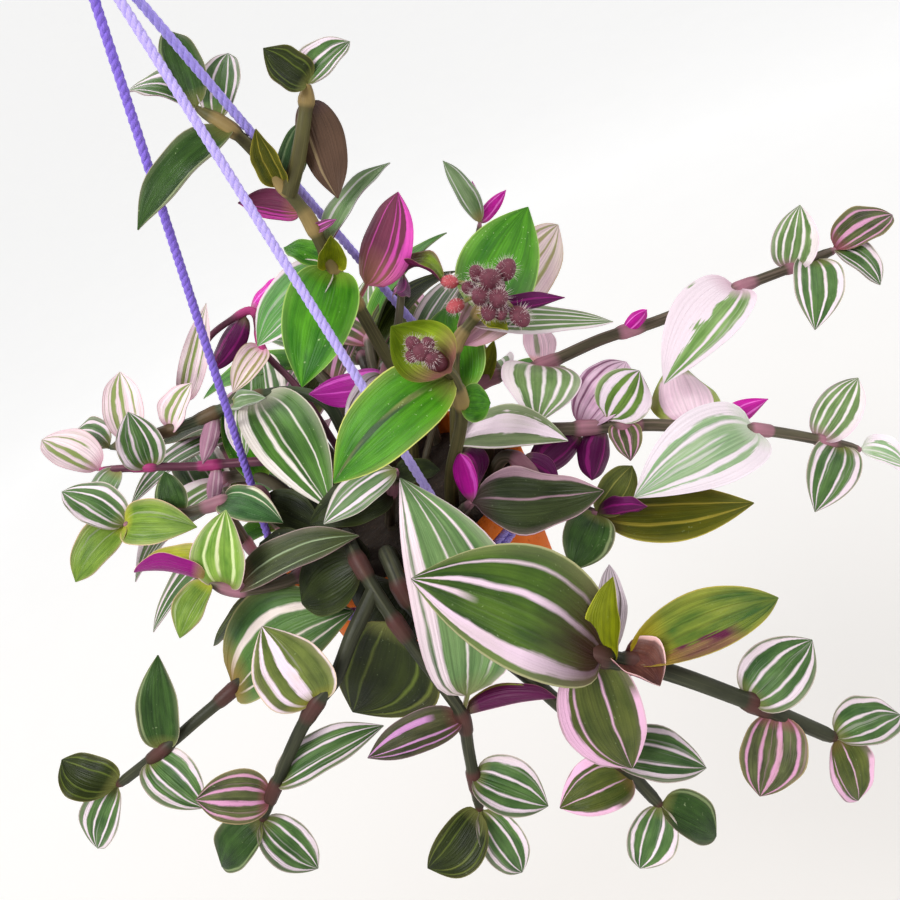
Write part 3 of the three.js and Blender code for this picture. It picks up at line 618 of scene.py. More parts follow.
def cord_paint():
    """Soft lavender yarn: fine fibres run slantwise along each strand."""
    paint = Paint("lavender yarn")
    length, around, strand = paint.parts(paint.attribute("spot"))
    slant = length * 0.9 + around * 6.5
    fibres = paint.cloud(paint.joined(slant, around * 2, strand), 2.4, 3, 0.65)
    fuzz = paint.cloud(paint.place(), 2600, 2)
    yarn = paint.mix(fibres, paint.attribute("deep"), paint.attribute("ground"))
    yarn = paint.scaled(yarn, 0.86 + fuzz * 0.3)
    relief = paint.bump(fibres + fuzz * 0.5, 0.6, 0.0004)
    paint.finish(Sheen_Weight=0.25, Sheen_Roughness=0.5)
    return paint.finish(Base_Color=yarn, Roughness=0.8, Normal=relief)


yarn = cord_paint()
print("A cord is laid with", LAY_LENGTH, "mm to a turn")

# %% [markdown]
# One cord is wound twice round the pot under the collar. Three more are tied to it, run up past
# the rim and meet in a knot under the hanging loop. A knot is drawn as the real one lies: the cord
# goes round itself on a closed path that crosses over and under three times.

# %% Sling
SEAT_GAP = 0.35
SLACK = 0.1
KNOT_RADIUS = 5.2
KNOT_LEVEL = -14.4
KNOT_BITE = 1.6
KNOT_HEIGHT = 1.5
KNOT_RISE = 0.42
KNOTTED_RADIUS = 1.5
RIM_TOUCH = -1.5
SINK_AT_FOOT = 2.5
SINK_AT_HEAD = 3
HANG_HEIGHT = 233
HANG_KNOT_DROP = 2.4
HANG_KNOT_SIZE = 4.3
HANG_KNOT_HEIGHT = 2.4
HANG_KNOTTED_RADIUS = 1.6
LOOP_RADIUS = 11
# The front arm has the pale tone as painted light, and the left arm the strong one as painted shade.
ARMS = {"right": (22, "middle"), "front": (-78, "pale"), "left": (168, "shaded_yarn")}

ring_radius = shoulder + CORD_RADIUS + SEAT_GAP + SLACK
upper_turn = -COLLAR_HEIGHT - CORD_RADIUS - SEAT_GAP
lower_turn = upper_turn - 2 * CORD_RADIUS - SLACK
top_knot = Vector((0, 0, HANG_HEIGHT))


def around_pot(degrees, radius, z):
    """A place given by its turn round the pot's axis, its distance from it and its height."""
    angle = math.radians(degrees)
    return Vector((radius * math.cos(angle), radius * math.sin(angle), z))


def knot_line(centre, size, height):
    """The path of a cord in an overhand knot."""
    places = []
    for i in range(ROUND_STEPS + 1):
        t = 2 * math.pi * i / ROUND_STEPS
        wide = (2 + math.cos(3 * t)) * size / 3
        high = size * KNOT_RISE * math.sin(3 * t) * height
        places.append(Vector(centre) + Vector((wide * math.cos(2 * t), wide * math.sin(2 * t), high)))
    return places


ring = Shell()
for height in (upper_turn, lower_turn):
    turns = [360 / ROUND_STEPS * i for i in range(ROUND_STEPS + 1)]
    lay_cord(ring, [around_pot(degrees, ring_radius, height) for degrees in turns])
for degrees, _ in ARMS.values():
    middle = around_pot(degrees, ring_radius + CORD_RADIUS + KNOT_RADIUS - KNOT_BITE, KNOT_LEVEL)
    lay_cord(ring, knot_line(middle, KNOT_RADIUS - KNOTTED_RADIUS, KNOT_HEIGHT), KNOTTED_RADIUS)
finished(ring.made("cord_ring", yarn), "ring")

for side_name, (degrees, yarn_tone) in ARMS.items():
    edge = around_pot(degrees, RIM_RADIUS + SEAT_GAP + CORD_RADIUS + SLACK, RIM_TOUCH)
    run = (top_knot - edge).normalized()
    foot = edge - run * ((edge.z - (KNOT_LEVEL + KNOT_RADIUS + SEAT_GAP - SINK_AT_FOOT)) / run.z)
    head = top_knot - run * (2 * KNOT_RADIUS - SINK_AT_HEAD)
    arm = Shell()
    lay_cord(arm, [foot, head], yarn_tone=yarn_tone)
    finished(arm.made("cord_arm_" + side_name, yarn), "cord_" + side_name)
    print("The", side_name, "cord is", round((head - foot).length), "mm long")

# %% [markdown]
# The loop stands on the top knot. It's a little narrower than a circle and taller.

# %% Hanging loop
LOOP_STEPS = 64
loop_width = LOOP_RADIUS * 0.8
loop_height = LOOP_RADIUS * 1.15
loop_middle = HANG_HEIGHT + loop_height + 2
loop_line = []
for i in range(LOOP_STEPS + 1):
    turn = 2 * math.pi * (i / LOOP_STEPS - 0.25)
    loop_line.append(Vector((loop_width * math.cos(turn), 0, loop_middle + loop_height * math.sin(turn))))
hanger = Shell()
lay_cord(hanger, loop_line)
hang_knot = knot_line((0, 0, HANG_HEIGHT - HANG_KNOT_DROP), HANG_KNOT_SIZE, HANG_KNOT_HEIGHT)
lay_cord(hanger, hang_knot, HANG_KNOTTED_RADIUS)
finished(hanger.made("cord_loop", yarn), "hang_loop")
print("The ring has", len(ring.faces), "faces and the loop", len(hanger.faces))

# %% [markdown]
# The plant is written down as it was measured: each stem by the places that it runs through, and
# each leaf by its place on the stem, where its tip is seen and how near, its width in millimetres,
# the way its upper side faces, its arch, its fold and the name of its pattern. A place on a stem
# is counted along its path: 4.5 is halfway from the fifth place to the sixth.

# %% How stems are written down
ROOT_DEPTH = 11
STEM_STEP = 26


def root(x, y):
    """The first two points of a stem: down in the soil and just above it."""
    return [Vector((x, y, SOIL_LEVEL - ROOT_DEPTH)), Vector((x, y, SOIL_LEVEL + 3))]


def at(x, y, z):
    """A place in millimetres from the middle of the rim."""
    return Vector((x, y, z))


def route(*places):
    """The places that a stem runs through, each as it is seen and how near it comes."""
    return [seen(*place) for place in places]


STEMS = {}
print("A root goes", ROOT_DEPTH, "mm into the soil")

# %% [markdown]
# One stem grows up between the cords and forks there. Nearly all that shows at the upper left
# hangs on it.

# %% Upright stem
STEMS["stem_upright"] = dict(
    path=[*root(10, 8), *route((402, 385, 26), (380, 345, 34), (356, 303, 44), (334, 270, 52),
        (305, 213, 62), (285, 188, 66), (262, 160, 70), (232, 130, 74), (196, 108, 76))],
    leaves=[
        (4, 398, 192, 60, 22, (0.3, 0, -1), 0.1, 0.35, "magenta_tall"),
        (5, 302, 387, 66, 27, (0.1, 0.2, 1), 0.12, 0.2, "fresh"),
        (5, 258, 346, 44, 23, (-0.3, 0.3, 0.9), 0.1, 0.25, "edged_green"),
        (5, 284, 248, 44, 13, (0, 0.5, 0.8), 0.1, 0.3, "fresh"),
        (5.1, 326, 234, 66, 13, (0.1, -0.2, 1), 0.05, 0.7, "lime"),
        (5.3, 390, 163, 48, 13, (-0.3, 0.6, 0.7), 0.1, 0.4, "sage"),
        (5.7, 331, 214, 66, 4, (0, 0, 1), 0.05, 0.4, "magenta"),
        (6, 238, 203, 58, 13, (0.2, 0.6, -0.8), 0.05, 0.3, "magenta_back"),
        (7, 296, 116, 66, 11, (0.2, 0, 1), 0.05, 0.3, "lined_green"),
        (7.1, 268, 118, 74, 12, (-0.3, 0, 1), 0.05, 0.4, "olive"),
        (9, 138, 230, 84, 17, (-0.2, 0.3, 0.9), 0.12, 0.2, "deep"),
        (9.4, 236, 50, 64, 16, (0, 0.4, 0.8), 0.1, 0.3, "striped"),
        (10, 128, 92, 74, 18, (0, 0.6, 0.7), 0.15, 0.3, "striped"),
        (10, 168, 40, 64, 15, (0.3, 0, 0.9), 0.1, 0.35, "deep"),
    ],
    branch=dict(
        path=[*route((289, 193, 66), (298, 160, 74), (304, 122, 80), (308, 84, 84))],
        leaves=[
            (2.6, 336, 200, 72, 17, (0.15, 0, -1), 0.06, 0.2, "bronze_back"),
            (3, 350, 42, 84, 17, (0, 0.5, 0.8), 0.1, 0.3, "striped"),
            (3, 268, 44, 88, 16, (0, 0.4, 0.9), 0.1, 0.3, "deep_lined"),
        ],
    ),
)
print("Stems so far:", len(STEMS))

# %% [markdown]
# Two long stems reach out to the right, one above the other. They carry the whitest leaves.

# %% Stems to the right
STEMS["stem_upper_right"] = dict(
    path=[*root(38, 8), at(45, 12, 14), *route((482, 382, 0), (540, 366, 2), (602, 339, 2), (655, 322, 2),
        (702, 303, 2), (738, 288, 2), (790, 268, 0), (835, 250, -3))],
    leaves=[
        (4, 537, 424, 30, 33, (0.1, 0.75, 0.66), 0.2, -0.1, "silver_striped"),
        (4, 543, 328, -12, 15, (0, -0.1, 1), 0.1, 0.3, "blush"),
        (5.4, 655, 300, 8, 7, (0.3, 0.3, -0.9), 0.05, 0.4, "magenta"),
        (8, 664, 384, 26, 30, (-0.15, 0.5, 0.85), 0.12, 0.25, "blush_white"),
        (9, 800, 205, 10, 20, (-0.2, 0.3, 0.9), 0.1, 0.3, "silver_striped"),
        (9.5, 815, 330, 14, 22, (0, 0.5, 0.85), 0.12, 0.2, "striped"),
        (10, 892, 215, -8, 20, (0, 0.6, 0.8), 0.12, 0.3, "rose_striped"),
        (10, 880, 285, 4, 18, (0, 0.6, 0.8), 0.12, 0.3, "striped"),
        (3, 494, 340, 8, 8, (0, 0, 1), 0.1, 0.4, "lime"),
    ],
)
STEMS["stem_middle_right"] = dict(
    path=[*root(40, -8), at(50, -12, 12), *route((546, 429, 17), (602, 427, 15), (651, 425, 15),
        (705, 428, 12), (760, 430, 8), (820, 440, 0), (860, 450, -5))],
    leaves=[
        (3.6, 626, 362, -12, 23, (0, 0.4, 0.9), 0.1, 0.2, "pink_lined"),
        (4, 637, 373, 8, 24, (0, 0.1, 1), 0.15, 0.1, "fan_striped"),
        (6.9, 634, 498, 42, 35, (-0.1, 0.35, 0.93), 0.1, 0.2, "white_heart"),
        (5.8, 673, 369, -6, 32, (-0.1, 0.5, 0.85), 0.2, -0.3, "hood"),
        (6.2, 768, 399, 4, 11, (0, 0.2, -1), 0.05, 0.4, "magenta"),
        (3.6, 530, 472, 22, 18, (0.3, 0.2, -0.9), 0.1, 0.3, "plum"),
        (4, 592, 480, 22, 16, (0, 0.3, -0.95), 0.1, 0.3, "plum"),
        (4.4, 640, 455, 28, 14, (0, 0.3, 0.95), 0.1, 0.3, "rose_striped"),
        (8, 858, 378, 2, 20, (0, 0.5, 0.8), 0.12, 0.3, "silver_striped"),
        (8.5, 815, 512, 12, 22, (0, 0.5, 0.8), 0.12, 0.2, "striped"),
        (9, 908, 470, -10, 18, (0, 0.6, 0.8), 0.12, 0.3, "white_heart"),
    ],
)
print("Stems so far:", len(STEMS))

# %% [markdown]
# Two stems end in a head of buds, whose radius is given as head. A thin shoot rises behind them.

# %% Bud stems and the shoot behind
STEMS["stem_bud_high"] = dict(
    path=[*root(28, -2), *route((456, 410, 22), (456, 346, 30), (476, 316, 35), (486, 301, 38))],
    head=6,
    leaves=[
        (4.2, 528, 207, 16, 33, (0, -0.2, 1), -0.02, -0.1, "fresh"),
        (3, 558, 225, -26, 27, (0.3, 0, 0.95), 0.1, 0.2, "cream_striped"),
        (4, 563, 292, 44, 9, (0, 0.6, -0.8), 0.05, 0.3, "plum"),
        (3.7, 613, 322, 16, 17, (0, 0.6, 0.8), 0.02, 0.15, "silver_striped"),
        (4.3, 508, 330, 46, 9, (0, 0.5, 0.8), -0.05, 0.4, "lime"),
        (1.5, 568, 441, 48, 25, (0, 0.6, 0.8), 0.1, 0.2, "white_centre"),
        (2.2, 447, 306, 2, 27, (0.1, 0.1, 1), 0.05, 0.15, "fresh"),
        (1.3, 532, 488, 28, 20, (0, 0.4, -0.9), 0.1, 0.3, "plum"),
    ],
)
STEMS["stem_bud_low"] = dict(
    path=[*root(18, -22), *route((452, 470, 48), (462, 410, 72), (452, 376, 86), (444, 368, 89))],
    head=4.6,
    leaves=[
        (4, 389, 324, 92, 30, (-0.1, 0.1, 1), -0.05, 0.45, "bract"),
        (4, 334, 483, 86, 29, (-0.2, 0.35, 0.9), 0.1, 0.2, "fresh_ribbed"),
        (3.2, 478, 404, 66, 14, (0.2, 0, 1), 0.1, 0.2, "fresh"),
    ],
)
STEMS["stem_top_shoot"] = dict(
    path=[*root(20, 22), *route((452, 360, -28), (470, 290, -20), (478, 236, -14), (480, 222, -13))],
    leaves=[
        (5, 443, 161, -8, 10, (0.2, 0, 1), 0.1, 0.3, "sage"),
        (5, 506, 190, -12, 7, (-0.2, 0, -1), 0.1, 0.4, "magenta"),
        (5, 472, 182, -12, 5, (0, 0, -1), 0.05, 0.3, "magenta"),
    ],
)
print("Stems so far:", len(STEMS))

# %% [markdown]
# Three strong stems come over the rim in front. They carry the large striped leaves, and trail
# on past the lower edge of the photo.

# %% Stems in front
STEMS["stem_front_right"] = dict(
    path=[*root(4, -32), *route((440, 540, 54), (520, 620, 64), (603, 657, 78), (655, 668, 76),
        (750, 702, 70), (835, 738, 60))],
    leaves=[
        (4, 411, 579, 90, 44, (-0.05, 0.45, 0.9), 0.1, 0.12, "front_striped"),
        (4.5, 778, 598, 64, 24, (0.1, 0.55, 0.8), 0.1, 0.4, "gold_green"),
        (4.2, 613, 577, 84, 16, (-0.7, 0, 0.7), 0.05, 0.6, "lime"),
        (4, 609, 565, 56, 12, (0.1, 0, 1), 0.1, 0.2, "pale_striped"),
        (4.35, 660, 686, 88, 23, (0.2, 0.6, 0.7), 0.1, 0.45, "bronze_edged"),
        (3.8, 632, 768, 62, 30, (-0.1, 0, 1), 0.1, 0.15, "pink_edged"),
        (6, 812, 640, 70, 24, (0, 0.6, 0.8), 0.12, 0.2, "striped"),
        (6.3, 760, 796, 66, 24, (0, 0.3, 0.9), 0.1, 0.2, "rose_striped"),
        (7, 900, 715, 52, 20, (0, 0.7, 0.7), 0.12, 0.3, "striped"),
        (7, 858, 800, 56, 20, (0, 0.5, 0.8), 0.12, 0.3, "pink_edged"),
    ],
)
STEMS["stem_front_down"] = dict(
    path=[*root(-14, -30), at(-14, -56, 10), *route((418, 612, 55), (500, 655, 50), (560, 705, 50),
        (610, 752, 44), (660, 805, 36))],
    leaves=[
        # A shade leaf: a dark sheet of painted shade in a gap between leaves.
        (2.5, 376, 640, 44, 34, (0, 0.3, 0.95), 0.05, 0.1, "shade"),
        (6, 706, 768, 44, 22, (0, 0.6, 0.8), 0.12, 0.2, "striped"),
        (6.4, 560, 808, 44, 22, (0, 0.3, 0.9), 0.12, 0.2, "pink_edged"),
        (7, 716, 836, 30, 20, (0, 0.6, 0.8), 0.12, 0.3, "deep"),
        (7, 640, 868, 32, 20, (0, 0.4, 0.9), 0.12, 0.3, "striped"),
    ],
)
STEMS["stem_front_middle"] = dict(
    path=[*root(-24, -18), *route((347, 538, 52), (371, 584, 60), (412, 645, 62), (446, 690, 60),
        (462, 715, 56), (469, 752, 50), (480, 810, 42))],
    leaves=[
        (6, 400, 478, 72, 39, (-0.05, 0.2, 0.95), 0.06, 0.12, "tall_striped"),
        (3.6, 348, 722, 42, 41, (0.1, 0.3, 0.95), 0.02, 0.12, "deep_lined"),
        # A shade leaf: a dark sheet of painted shade in a gap between leaves.
        (2.55, 302, 603, 46, 27, (0, 0.4, 0.9), 0.1, 0.2, "shade"),
        (6, 556, 698, 66, 14, (0, 0.3, -0.9), 0.1, 0.5, "plum_curl"),
        (6.1, 368, 758, 58, 16, (0, 0.5, 0.8), 0.1, 0.3, "mauve_striped"),
        (7.4, 548, 806, 50, 22, (0, 0.5, 0.8), 0.12, 0.2, "striped"),
        (8, 428, 868, 40, 20, (0, 0.4, 0.9), 0.12, 0.3, "deep_lined"),
        (8, 522, 872, 34, 18, (0, 0.4, 0.9), 0.12, 0.3, "striped"),
    ],
    branch=dict(
        path=[*route((374, 590, 60), (352, 636, 64), (334, 680, 64), (317, 702, 62), (300, 731, 60),
            (276, 785, 54), (262, 820, 50))],
        leaves=[
            (3, 262, 626, 76, 28, (-0.1, 0.1, 1), 0.08, 0.1, "round_striped"),
            (5, 386, 745, 60, 17, (0, 0.6, 0.8), 0.12, 0.2, "striped"),
            (5.4, 196, 800, 56, 20, (0, 0.5, 0.8), 0.12, 0.2, "rose_striped"),
            (6, 222, 866, 44, 19, (0, 0.5, 0.8), 0.12, 0.3, "deep"),
            (6, 318, 868, 46, 18, (0, 0.4, 0.9), 0.12, 0.3, "striped"),
        ],
    ),
)
print("Stems so far:", len(STEMS))

# %% [markdown]
# Six stems spread to the left. Two hang low, three run out nearly level, and a thin one behind them
# arches over.

# %% Stems to the left
STEMS["stem_left_front"] = dict(
    path=[*root(-34, -18), at(-44, -32, 14), *route((300, 574, 42), (240, 590, 50), (207, 582, 52))],
    leaves=[
        (4, 359, 536, 58, 20, (-0.1, 0.7, 0.7), 0.1, 0.25, "slate"),
        (4.4, 226, 510, 58, 22, (-0.2, 0.2, 0.95), 0.15, 0.2, "lime_striped"),
        (4.9, 180, 638, 56, 15, (-0.3, 0.4, 0.85), 0.1, 0.3, "lime_green"),
        (5, 134, 572, 50, 22, (0, 1, 0.15), 0.08, 0.95, "gold_plum"),
        # A shade leaf: a dark sheet of painted shade in a gap between leaves.
        (2.2, 262, 546, 30, 20, (0, 0.5, 0.85), 0.1, 0.2, "shade"),
    ],
)
STEMS["stem_left_low"] = dict(
    path=[*root(-37, -11), at(-52, -24, 16), *route((290, 625, 26), (243, 680, 38), (195, 722, 40),
        (165, 748, 38), (118, 785, 32))],
    leaves=[
        (4.2, 354, 611, 48, 39, (-0.15, 0.45, 0.88), 0.08, 0.12, "one_stripe"),
        (6, 158, 655, 44, 17, (0, 0.2, 1), 0.1, 0.2, "deep"),
        (6.3, 205, 808, 44, 20, (0, 0.5, 0.8), 0.12, 0.2, "striped"),
        (7, 62, 760, 28, 19, (0, 0.6, 0.8), 0.12, 0.3, "deep_lined"),
        (7, 98, 848, 26, 18, (0, 0.5, 0.8), 0.12, 0.3, "striped"),
    ],
)
STEMS["stem_left_middle"] = dict(
    path=[*root(-34, 10), at(-50, 4, 20), *route((258, 492, 22), (222, 502, 24), (178, 515, 22),
        (125, 525, 16))],
    leaves=[
        (4, 283, 523, 38, 16, (0, 0.5, 0.85), 0.15, 0.2, "dark_edged"),
        # A shade leaf: a dark sheet of painted shade in a gap between leaves.
        (2.5, 322, 530, 22, 17, (0, 0.5, 0.85), 0.1, 0.2, "shade"),
        (6, 197, 527, 34, 20, (0, 0.3, 0.95), 0.1, 0.2, "lime_green"),
        (5, 164, 472, 24, 13, (0, 0.4, 0.9), 0.1, 0.2, "deep"),
        (6, 62, 492, 14, 20, (0, 0.6, 0.8), 0.12, 0.3, "striped"),
        (6, 76, 582, 22, 20, (0, 0.6, 0.8), 0.12, 0.3, "lime_green"),
    ],
)
STEMS["stem_left_high"] = dict(
    path=[*root(-20, 20), at(-32, 22, 22), *route((285, 462, 2), (232, 463, -2), (200, 466, -2),
        (150, 467, 0), (100, 470, 0))],
    leaves=[
        (4.5, 211, 508, 4, 7, (0, 0.2, -1), 0.05, 0.3, "mauve"),
        (6, 128, 412, 8, 20, (0, 0.5, 0.85), 0.12, 0.2, "striped"),
        (7, 42, 440, -6, 20, (0, 0.6, 0.8), 0.12, 0.3, "blush_green"),
        (6.6, 92, 528, 2, 14, (0, 0.5, 0.85), 0.12, 0.3, "sage"),
        # A shade leaf: a dark sheet of painted shade in a gap between leaves.
        (2, 338, 520, 4, 18, (0, 0.6, 0.8), 0.1, 0.2, "shade"),
        (2.7, 234, 492, -6, 20, (0, 0.5, -0.85), 0.1, 0.2, "plum"),
    ],
)
STEMS["stem_left_upper"] = dict(
    path=[*root(-4, 12), at(-6, 16, 24), *route((325, 402, 6), (288, 392, 4), (240, 402, 2),
        (198, 420, 0), (165, 432, -2), (110, 448, -6))],
    leaves=[
        (4.6, 331, 510, 44, 30, (0.1, 0.3, 0.95), 0.1, 0.15, "bold_striped"),
        (5.2, 266, 398, 26, 9, (0.3, 0.2, 1), 0.05, 0.3, "sage"),
        (6.8, 192, 383, 4, 16, (0, 0.6, 0.8), 0.1, 0.3, "blush_green"),
        (5.6, 192, 462, 6, 8, (0, 0.2, -1), 0.05, 0.3, "mauve"),
        (8, 50, 402, -10, 19, (0, 0.6, 0.8), 0.12, 0.3, "striped"),
        (7.6, 120, 372, -12, 18, (0, 0.5, 0.85), 0.12, 0.3, "blush_green"),
        (5, 244, 460, 14, 13, (0, 0.2, 1), 0.08, 0.2, "silver_striped"),
    ],
)
STEMS["stem_left_arch"] = dict(
    path=[*root(-12, 32), *route((298, 388, -20), (262, 348, -16), (252, 311, -12), (228, 322, -10),
        (206, 342, -8), (194, 385, -10), (178, 412, -14))],
    leaves=[
        (4, 285, 276, -8, 14, (0.2, 0, -1), 0.1, 0.4, "magenta"),
        (3, 233, 393, 0, 14, (0, 0, 1), 0.1, 0.3, "cream_striped"),
        (4.3, 211, 371, -4, 13, (0, 0, -1), 0.1, 0.3, "plum"),
        (7.6, 206, 300, -8, 12, (0.3, 0, 0.9), 0.1, 0.2, "blush_green"),
    ],
)
print("Stems so far:", len(STEMS))

# %% [markdown]
# Four short stems fill the middle of the plant. Little of them shows but their leaves.

# %% Short stems in the middle
STEMS["stem_right_low"] = dict(
    path=[*root(34, -24), at(46, -38, 12), *route((560, 500, 34), (597, 514, 38))],
    leaves=[
        (4, 754, 503, 34, 25, (0, 0.35, 0.93), -0.1, 0.1, "olive"),
        (4, 632, 466, 30, 16, (0.2, 0.2, 0.95), 0.1, 0.3, "dark_olive"),
        (4, 572, 570, 46, 20, (0, 0.2, 1), 0.1, 0.15, "deep"),
        (4, 650, 498, 48, 10, (0, 0.4, -0.9), 0.05, 0.3, "plum"),
        (2.2, 552, 508, 40, 16, (0, 0.6, -0.8), 0.1, 0.3, "plum"),
    ],
)
STEMS["stem_centre_right"] = dict(
    path=[*root(20, -36), *route((462, 512, 46), (472, 502, 52))],
    leaves=[
        (3, 604, 491, 54, 30, (0, 0.6, 0.8), -0.12, 0.2, "dark_wavy"),
        (3, 448, 455, 58, 20, (0.1, 0, -1), 0.05, 0.5, "magenta_curl"),
    ],
)
STEMS["stem_centre"] = dict(
    path=[*root(-8, -10), *route((392, 492, 40), (396, 470, 52))],
    leaves=[
        (3, 324, 524, 56, 15, (0, 0.5, 0.9), 0.08, 0.3, "sage_striped"),
        # The two shade leaves here are dark sheets of painted shade in gaps between leaves.
        (2.6, 440, 470, 46, 12, (0, 0.6, 0.8), 0.08, 0.3, "shade"),
        (2, 336, 560, 44, 20, (0, 0.5, 0.85), 0.1, 0.2, "shade"),
    ],
)
STEMS["stem_centre_back"] = dict(
    path=[*root(4, 22), *route((376, 412, 4), (384, 376, 14), (397, 330, 32), (401, 298, 35),
        (403, 274, 37))],
    leaves=[
        (3, 309, 394, 14, 17, (0, -0.3, -0.95), 0.1, 0.3, "magenta_bright"),
        (3, 345, 430, 30, 13, (0, 0.3, 1), 0.1, 0.2, "pale_striped"),
        (6, 441, 284, 46, 13, (-0.1, 0.8, 0.5), 0.3, 0.4, "curled_lime"),
        (6, 387, 298, 50, 9, (0.3, 0, -0.95), 0.1, 0.6, "plum"),
    ],
)
print("Stems so far:", len(STEMS))


# %% [markdown]
# The far side can't be seen from the camera, so it is grown by rule: each stem leaves the soil,
# arches over the rim and trails, with leaves to either side and a tuft at its end.

# %% Stems of the far side
FAR_STEMS = [
    dict(degrees=50, start=45, rise=30, reach=122, drop=-30),
    dict(degrees=74, start=44, rise=24, reach=112, drop=-66),
    dict(degrees=92, start=36, rise=36, reach=126, drop=-20),
    dict(degrees=111, start=44, rise=24, reach=108, drop=-70),
    dict(degrees=128, start=37, rise=32, reach=106, drop=-38),
    dict(degrees=146, start=44, rise=24, reach=92, drop=-50),
    dict(degrees=62, start=33, rise=44, reach=66, drop=26),
]
FAR_LENGTH = 58
FAR_WIDTH = 25
FAR_TIP_SIZE = 0.78
FAR_LEAN = 0.2
FAR_ARCH = 0.12
FAR_FOLD = 0.2
FAR_LEAVES = 6
FAR_TUFT = 2
FAR_JOINTS = (2.65, 3.4, 4.15, 5)
FAR_PATTERNS = ["striped", "fresh", "pink_edged", "silver_striped", "deep_lined"]
FAR_PATTERNS += ["bold_striped", "rose_striped"]


def far_stem(number, degrees, start, rise, reach, drop):
    """The path of a trailing stem, its joints and the leaves along it."""
    foot = around_pot(degrees, start, 0)
    middle = (start + reach) / 2
    path = [
        *root(foot.x, foot.y),
        around_pot(degrees, min(middle - 8, 59), rise * 0.9),
        around_pot(degrees + 3, middle + 12, rise),
        around_pot(degrees + 1, reach - 6, (rise + drop) / 2 + 6),
        around_pot(degrees - 2, reach, drop),
    ]
    line = sampled(path)
    leaves = []
    for i in range(FAR_LEAVES):
        side = 1 if i % 2 else -1
        if i < FAR_LEAVES - FAR_TUFT:
            place, swing, tilt, size = 1.9 + 3 * i / 4, 52 + 7 * (i % 3), 14 - 7 * i, 1
        else:
            place, swing, tilt, size = 5, 30, -30, FAR_TIP_SIZE
        base = on_line(line, place)
        tilt = math.radians(tilt)
        out = around_pot(degrees + side * swing, math.cos(tilt), math.sin(tilt))
        leaf = dict(base=base, tip=base + out * (FAR_LENGTH * size), width=FAR_WIDTH * size)
        face = Vector((-out.x * FAR_LEAN, -out.y * FAR_LEAN, 1))
        pattern = FAR_PATTERNS[(number * 3 + i * 2) % len(FAR_PATTERNS)]
        leaves.append(dict(leaf, face=face, arch=FAR_ARCH, fold=FAR_FOLD, pattern=pattern))
    return dict(path=path, joints=FAR_JOINTS, leaves=leaves)


# %% [markdown]
# A stem is straight in the soil and then curves smoothly through its places. The plain solids
# follow the same curve in long steps, and their leaves start on those steps, so the steps are
# worked out here too.

# %% Lines of the stems


def curve_at(points, share):
    """A place on the smooth curve through the points."""
    spans = len(points) - 1
    i = min(int(spans * share), spans - 1)
    weight = spans * share - i
    before = points[i - 1] if i else 2 * points[0] - points[1]
    after = points[i + 2] if i + 2 <= spans else 2 * points[-1] - points[-2]
    a, b, c, d = before, points[i], points[i + 1], after
    s0, s1, s2 = ((q - p).length_squared ** 0.25 for p, q in ((a, b), (b, c), (c, d)))
    leave = ((b - a) / s0 - (c - a) / (s0 + s1) + (c - b) / s1) * s1
    enter = ((c - b) / s1 - (d - b) / (s1 + s2) + (d - c) / s2) * s1
    squared = (c - b) * 3 - leave * 2 - enter
    cubed = (b - c) * 2 + leave + enter
    return b + leave * weight + squared * weight**2 + cubed * weight**3


def sampled(path, step=STEM_STEP):
    """Stops along a stem, each with its count along the path."""
    curve, last = path[1:], len(path) - 1
    stops = [(0, path[0]), (1, path[1])]
    for i in range(1, last):
        pieces = max(1, math.floor((path[i + 1] - path[i]).length / step + 0.5))
        for k in range(1, pieces + 1):
            place = i + k / pieces
            stops.append((place, curve_at(curve, (place - 1) / (last - 1))))
    return stops


def on_line(stops, place):
    """The point at a count along the path."""
    after = next(i for i, stop in enumerate(stops) if i and stop[0] >= place - 1e-9)
    (a, start), (b, end) = stops[after - 1], stops[after]
    return start.lerp(end, (place - a) / (b - a))


def grown(part):
    """A stem or branch with its joints and the places of its leaves worked out."""
    line = sampled(part["path"])
    leaves = []
    for place, x, y, near, width, face, arch, fold, pattern in part["leaves"]:
        spot = dict(base=on_line(line, place), tip=seen(x, y, near), face=towards(face))
        leaves.append(dict(spot, width=width, arch=arch, fold=fold, pattern=pattern))
    return dict(path=part["path"], joints=[row[0] for row in part["leaves"]], leaves=leaves)


plant = {}
for name, stem in STEMS.items():
    plant[name] = [grown(part) for part in (stem, stem.get("branch")) if part]
for number, rule in enumerate(FAR_STEMS):
    plant[f"stem_far_{number + 1}"] = [far_stem(number, **rule)]
leaf_count = sum(len(part["leaves"]) for parts in plant.values() for part in parts)
print(len(plant), "stems with", leaf_count, "leaves")

# %% [markdown]
# Leaves that would have crossed were bent clear in the solids. The bend that was taken shows
# itself there: for each bend that could have been tried, in the same order, the solid either has
# a corner where the tip would be, or not.

# %% Bends that the solids took
BEND_DEGREES = (7, 14, 22, 30, 40, 52)
SHRINKS = (1, 0.8, 0.6)
TIP_CORNER = 0.6
bends = [(0, 0)]
for degrees in BEND_DEGREES:
    for turn in range(0, 360, 60):
        angle = math.radians(turn)
        bends.append((degrees * math.cos(angle), degrees * math.sin(angle)))


def bent(leaf, pitch, yaw, scale):
    """A leaf turned about its base and made smaller."""
    run = leaf["tip"] - leaf["base"]
    along = run.normalized()
    normal = (leaf["face"] - along * leaf["face"].dot(along)).normalized()
    side = along.cross(normal)
    turn = Quaternion(normal, math.radians(yaw)) @ Quaternion(side, math.radians(pitch))
    tip = leaf["base"] + (turn @ run) * scale
    return dict(leaf, tip=tip, face=turn @ leaf["face"], width=leaf["width"] * scale)


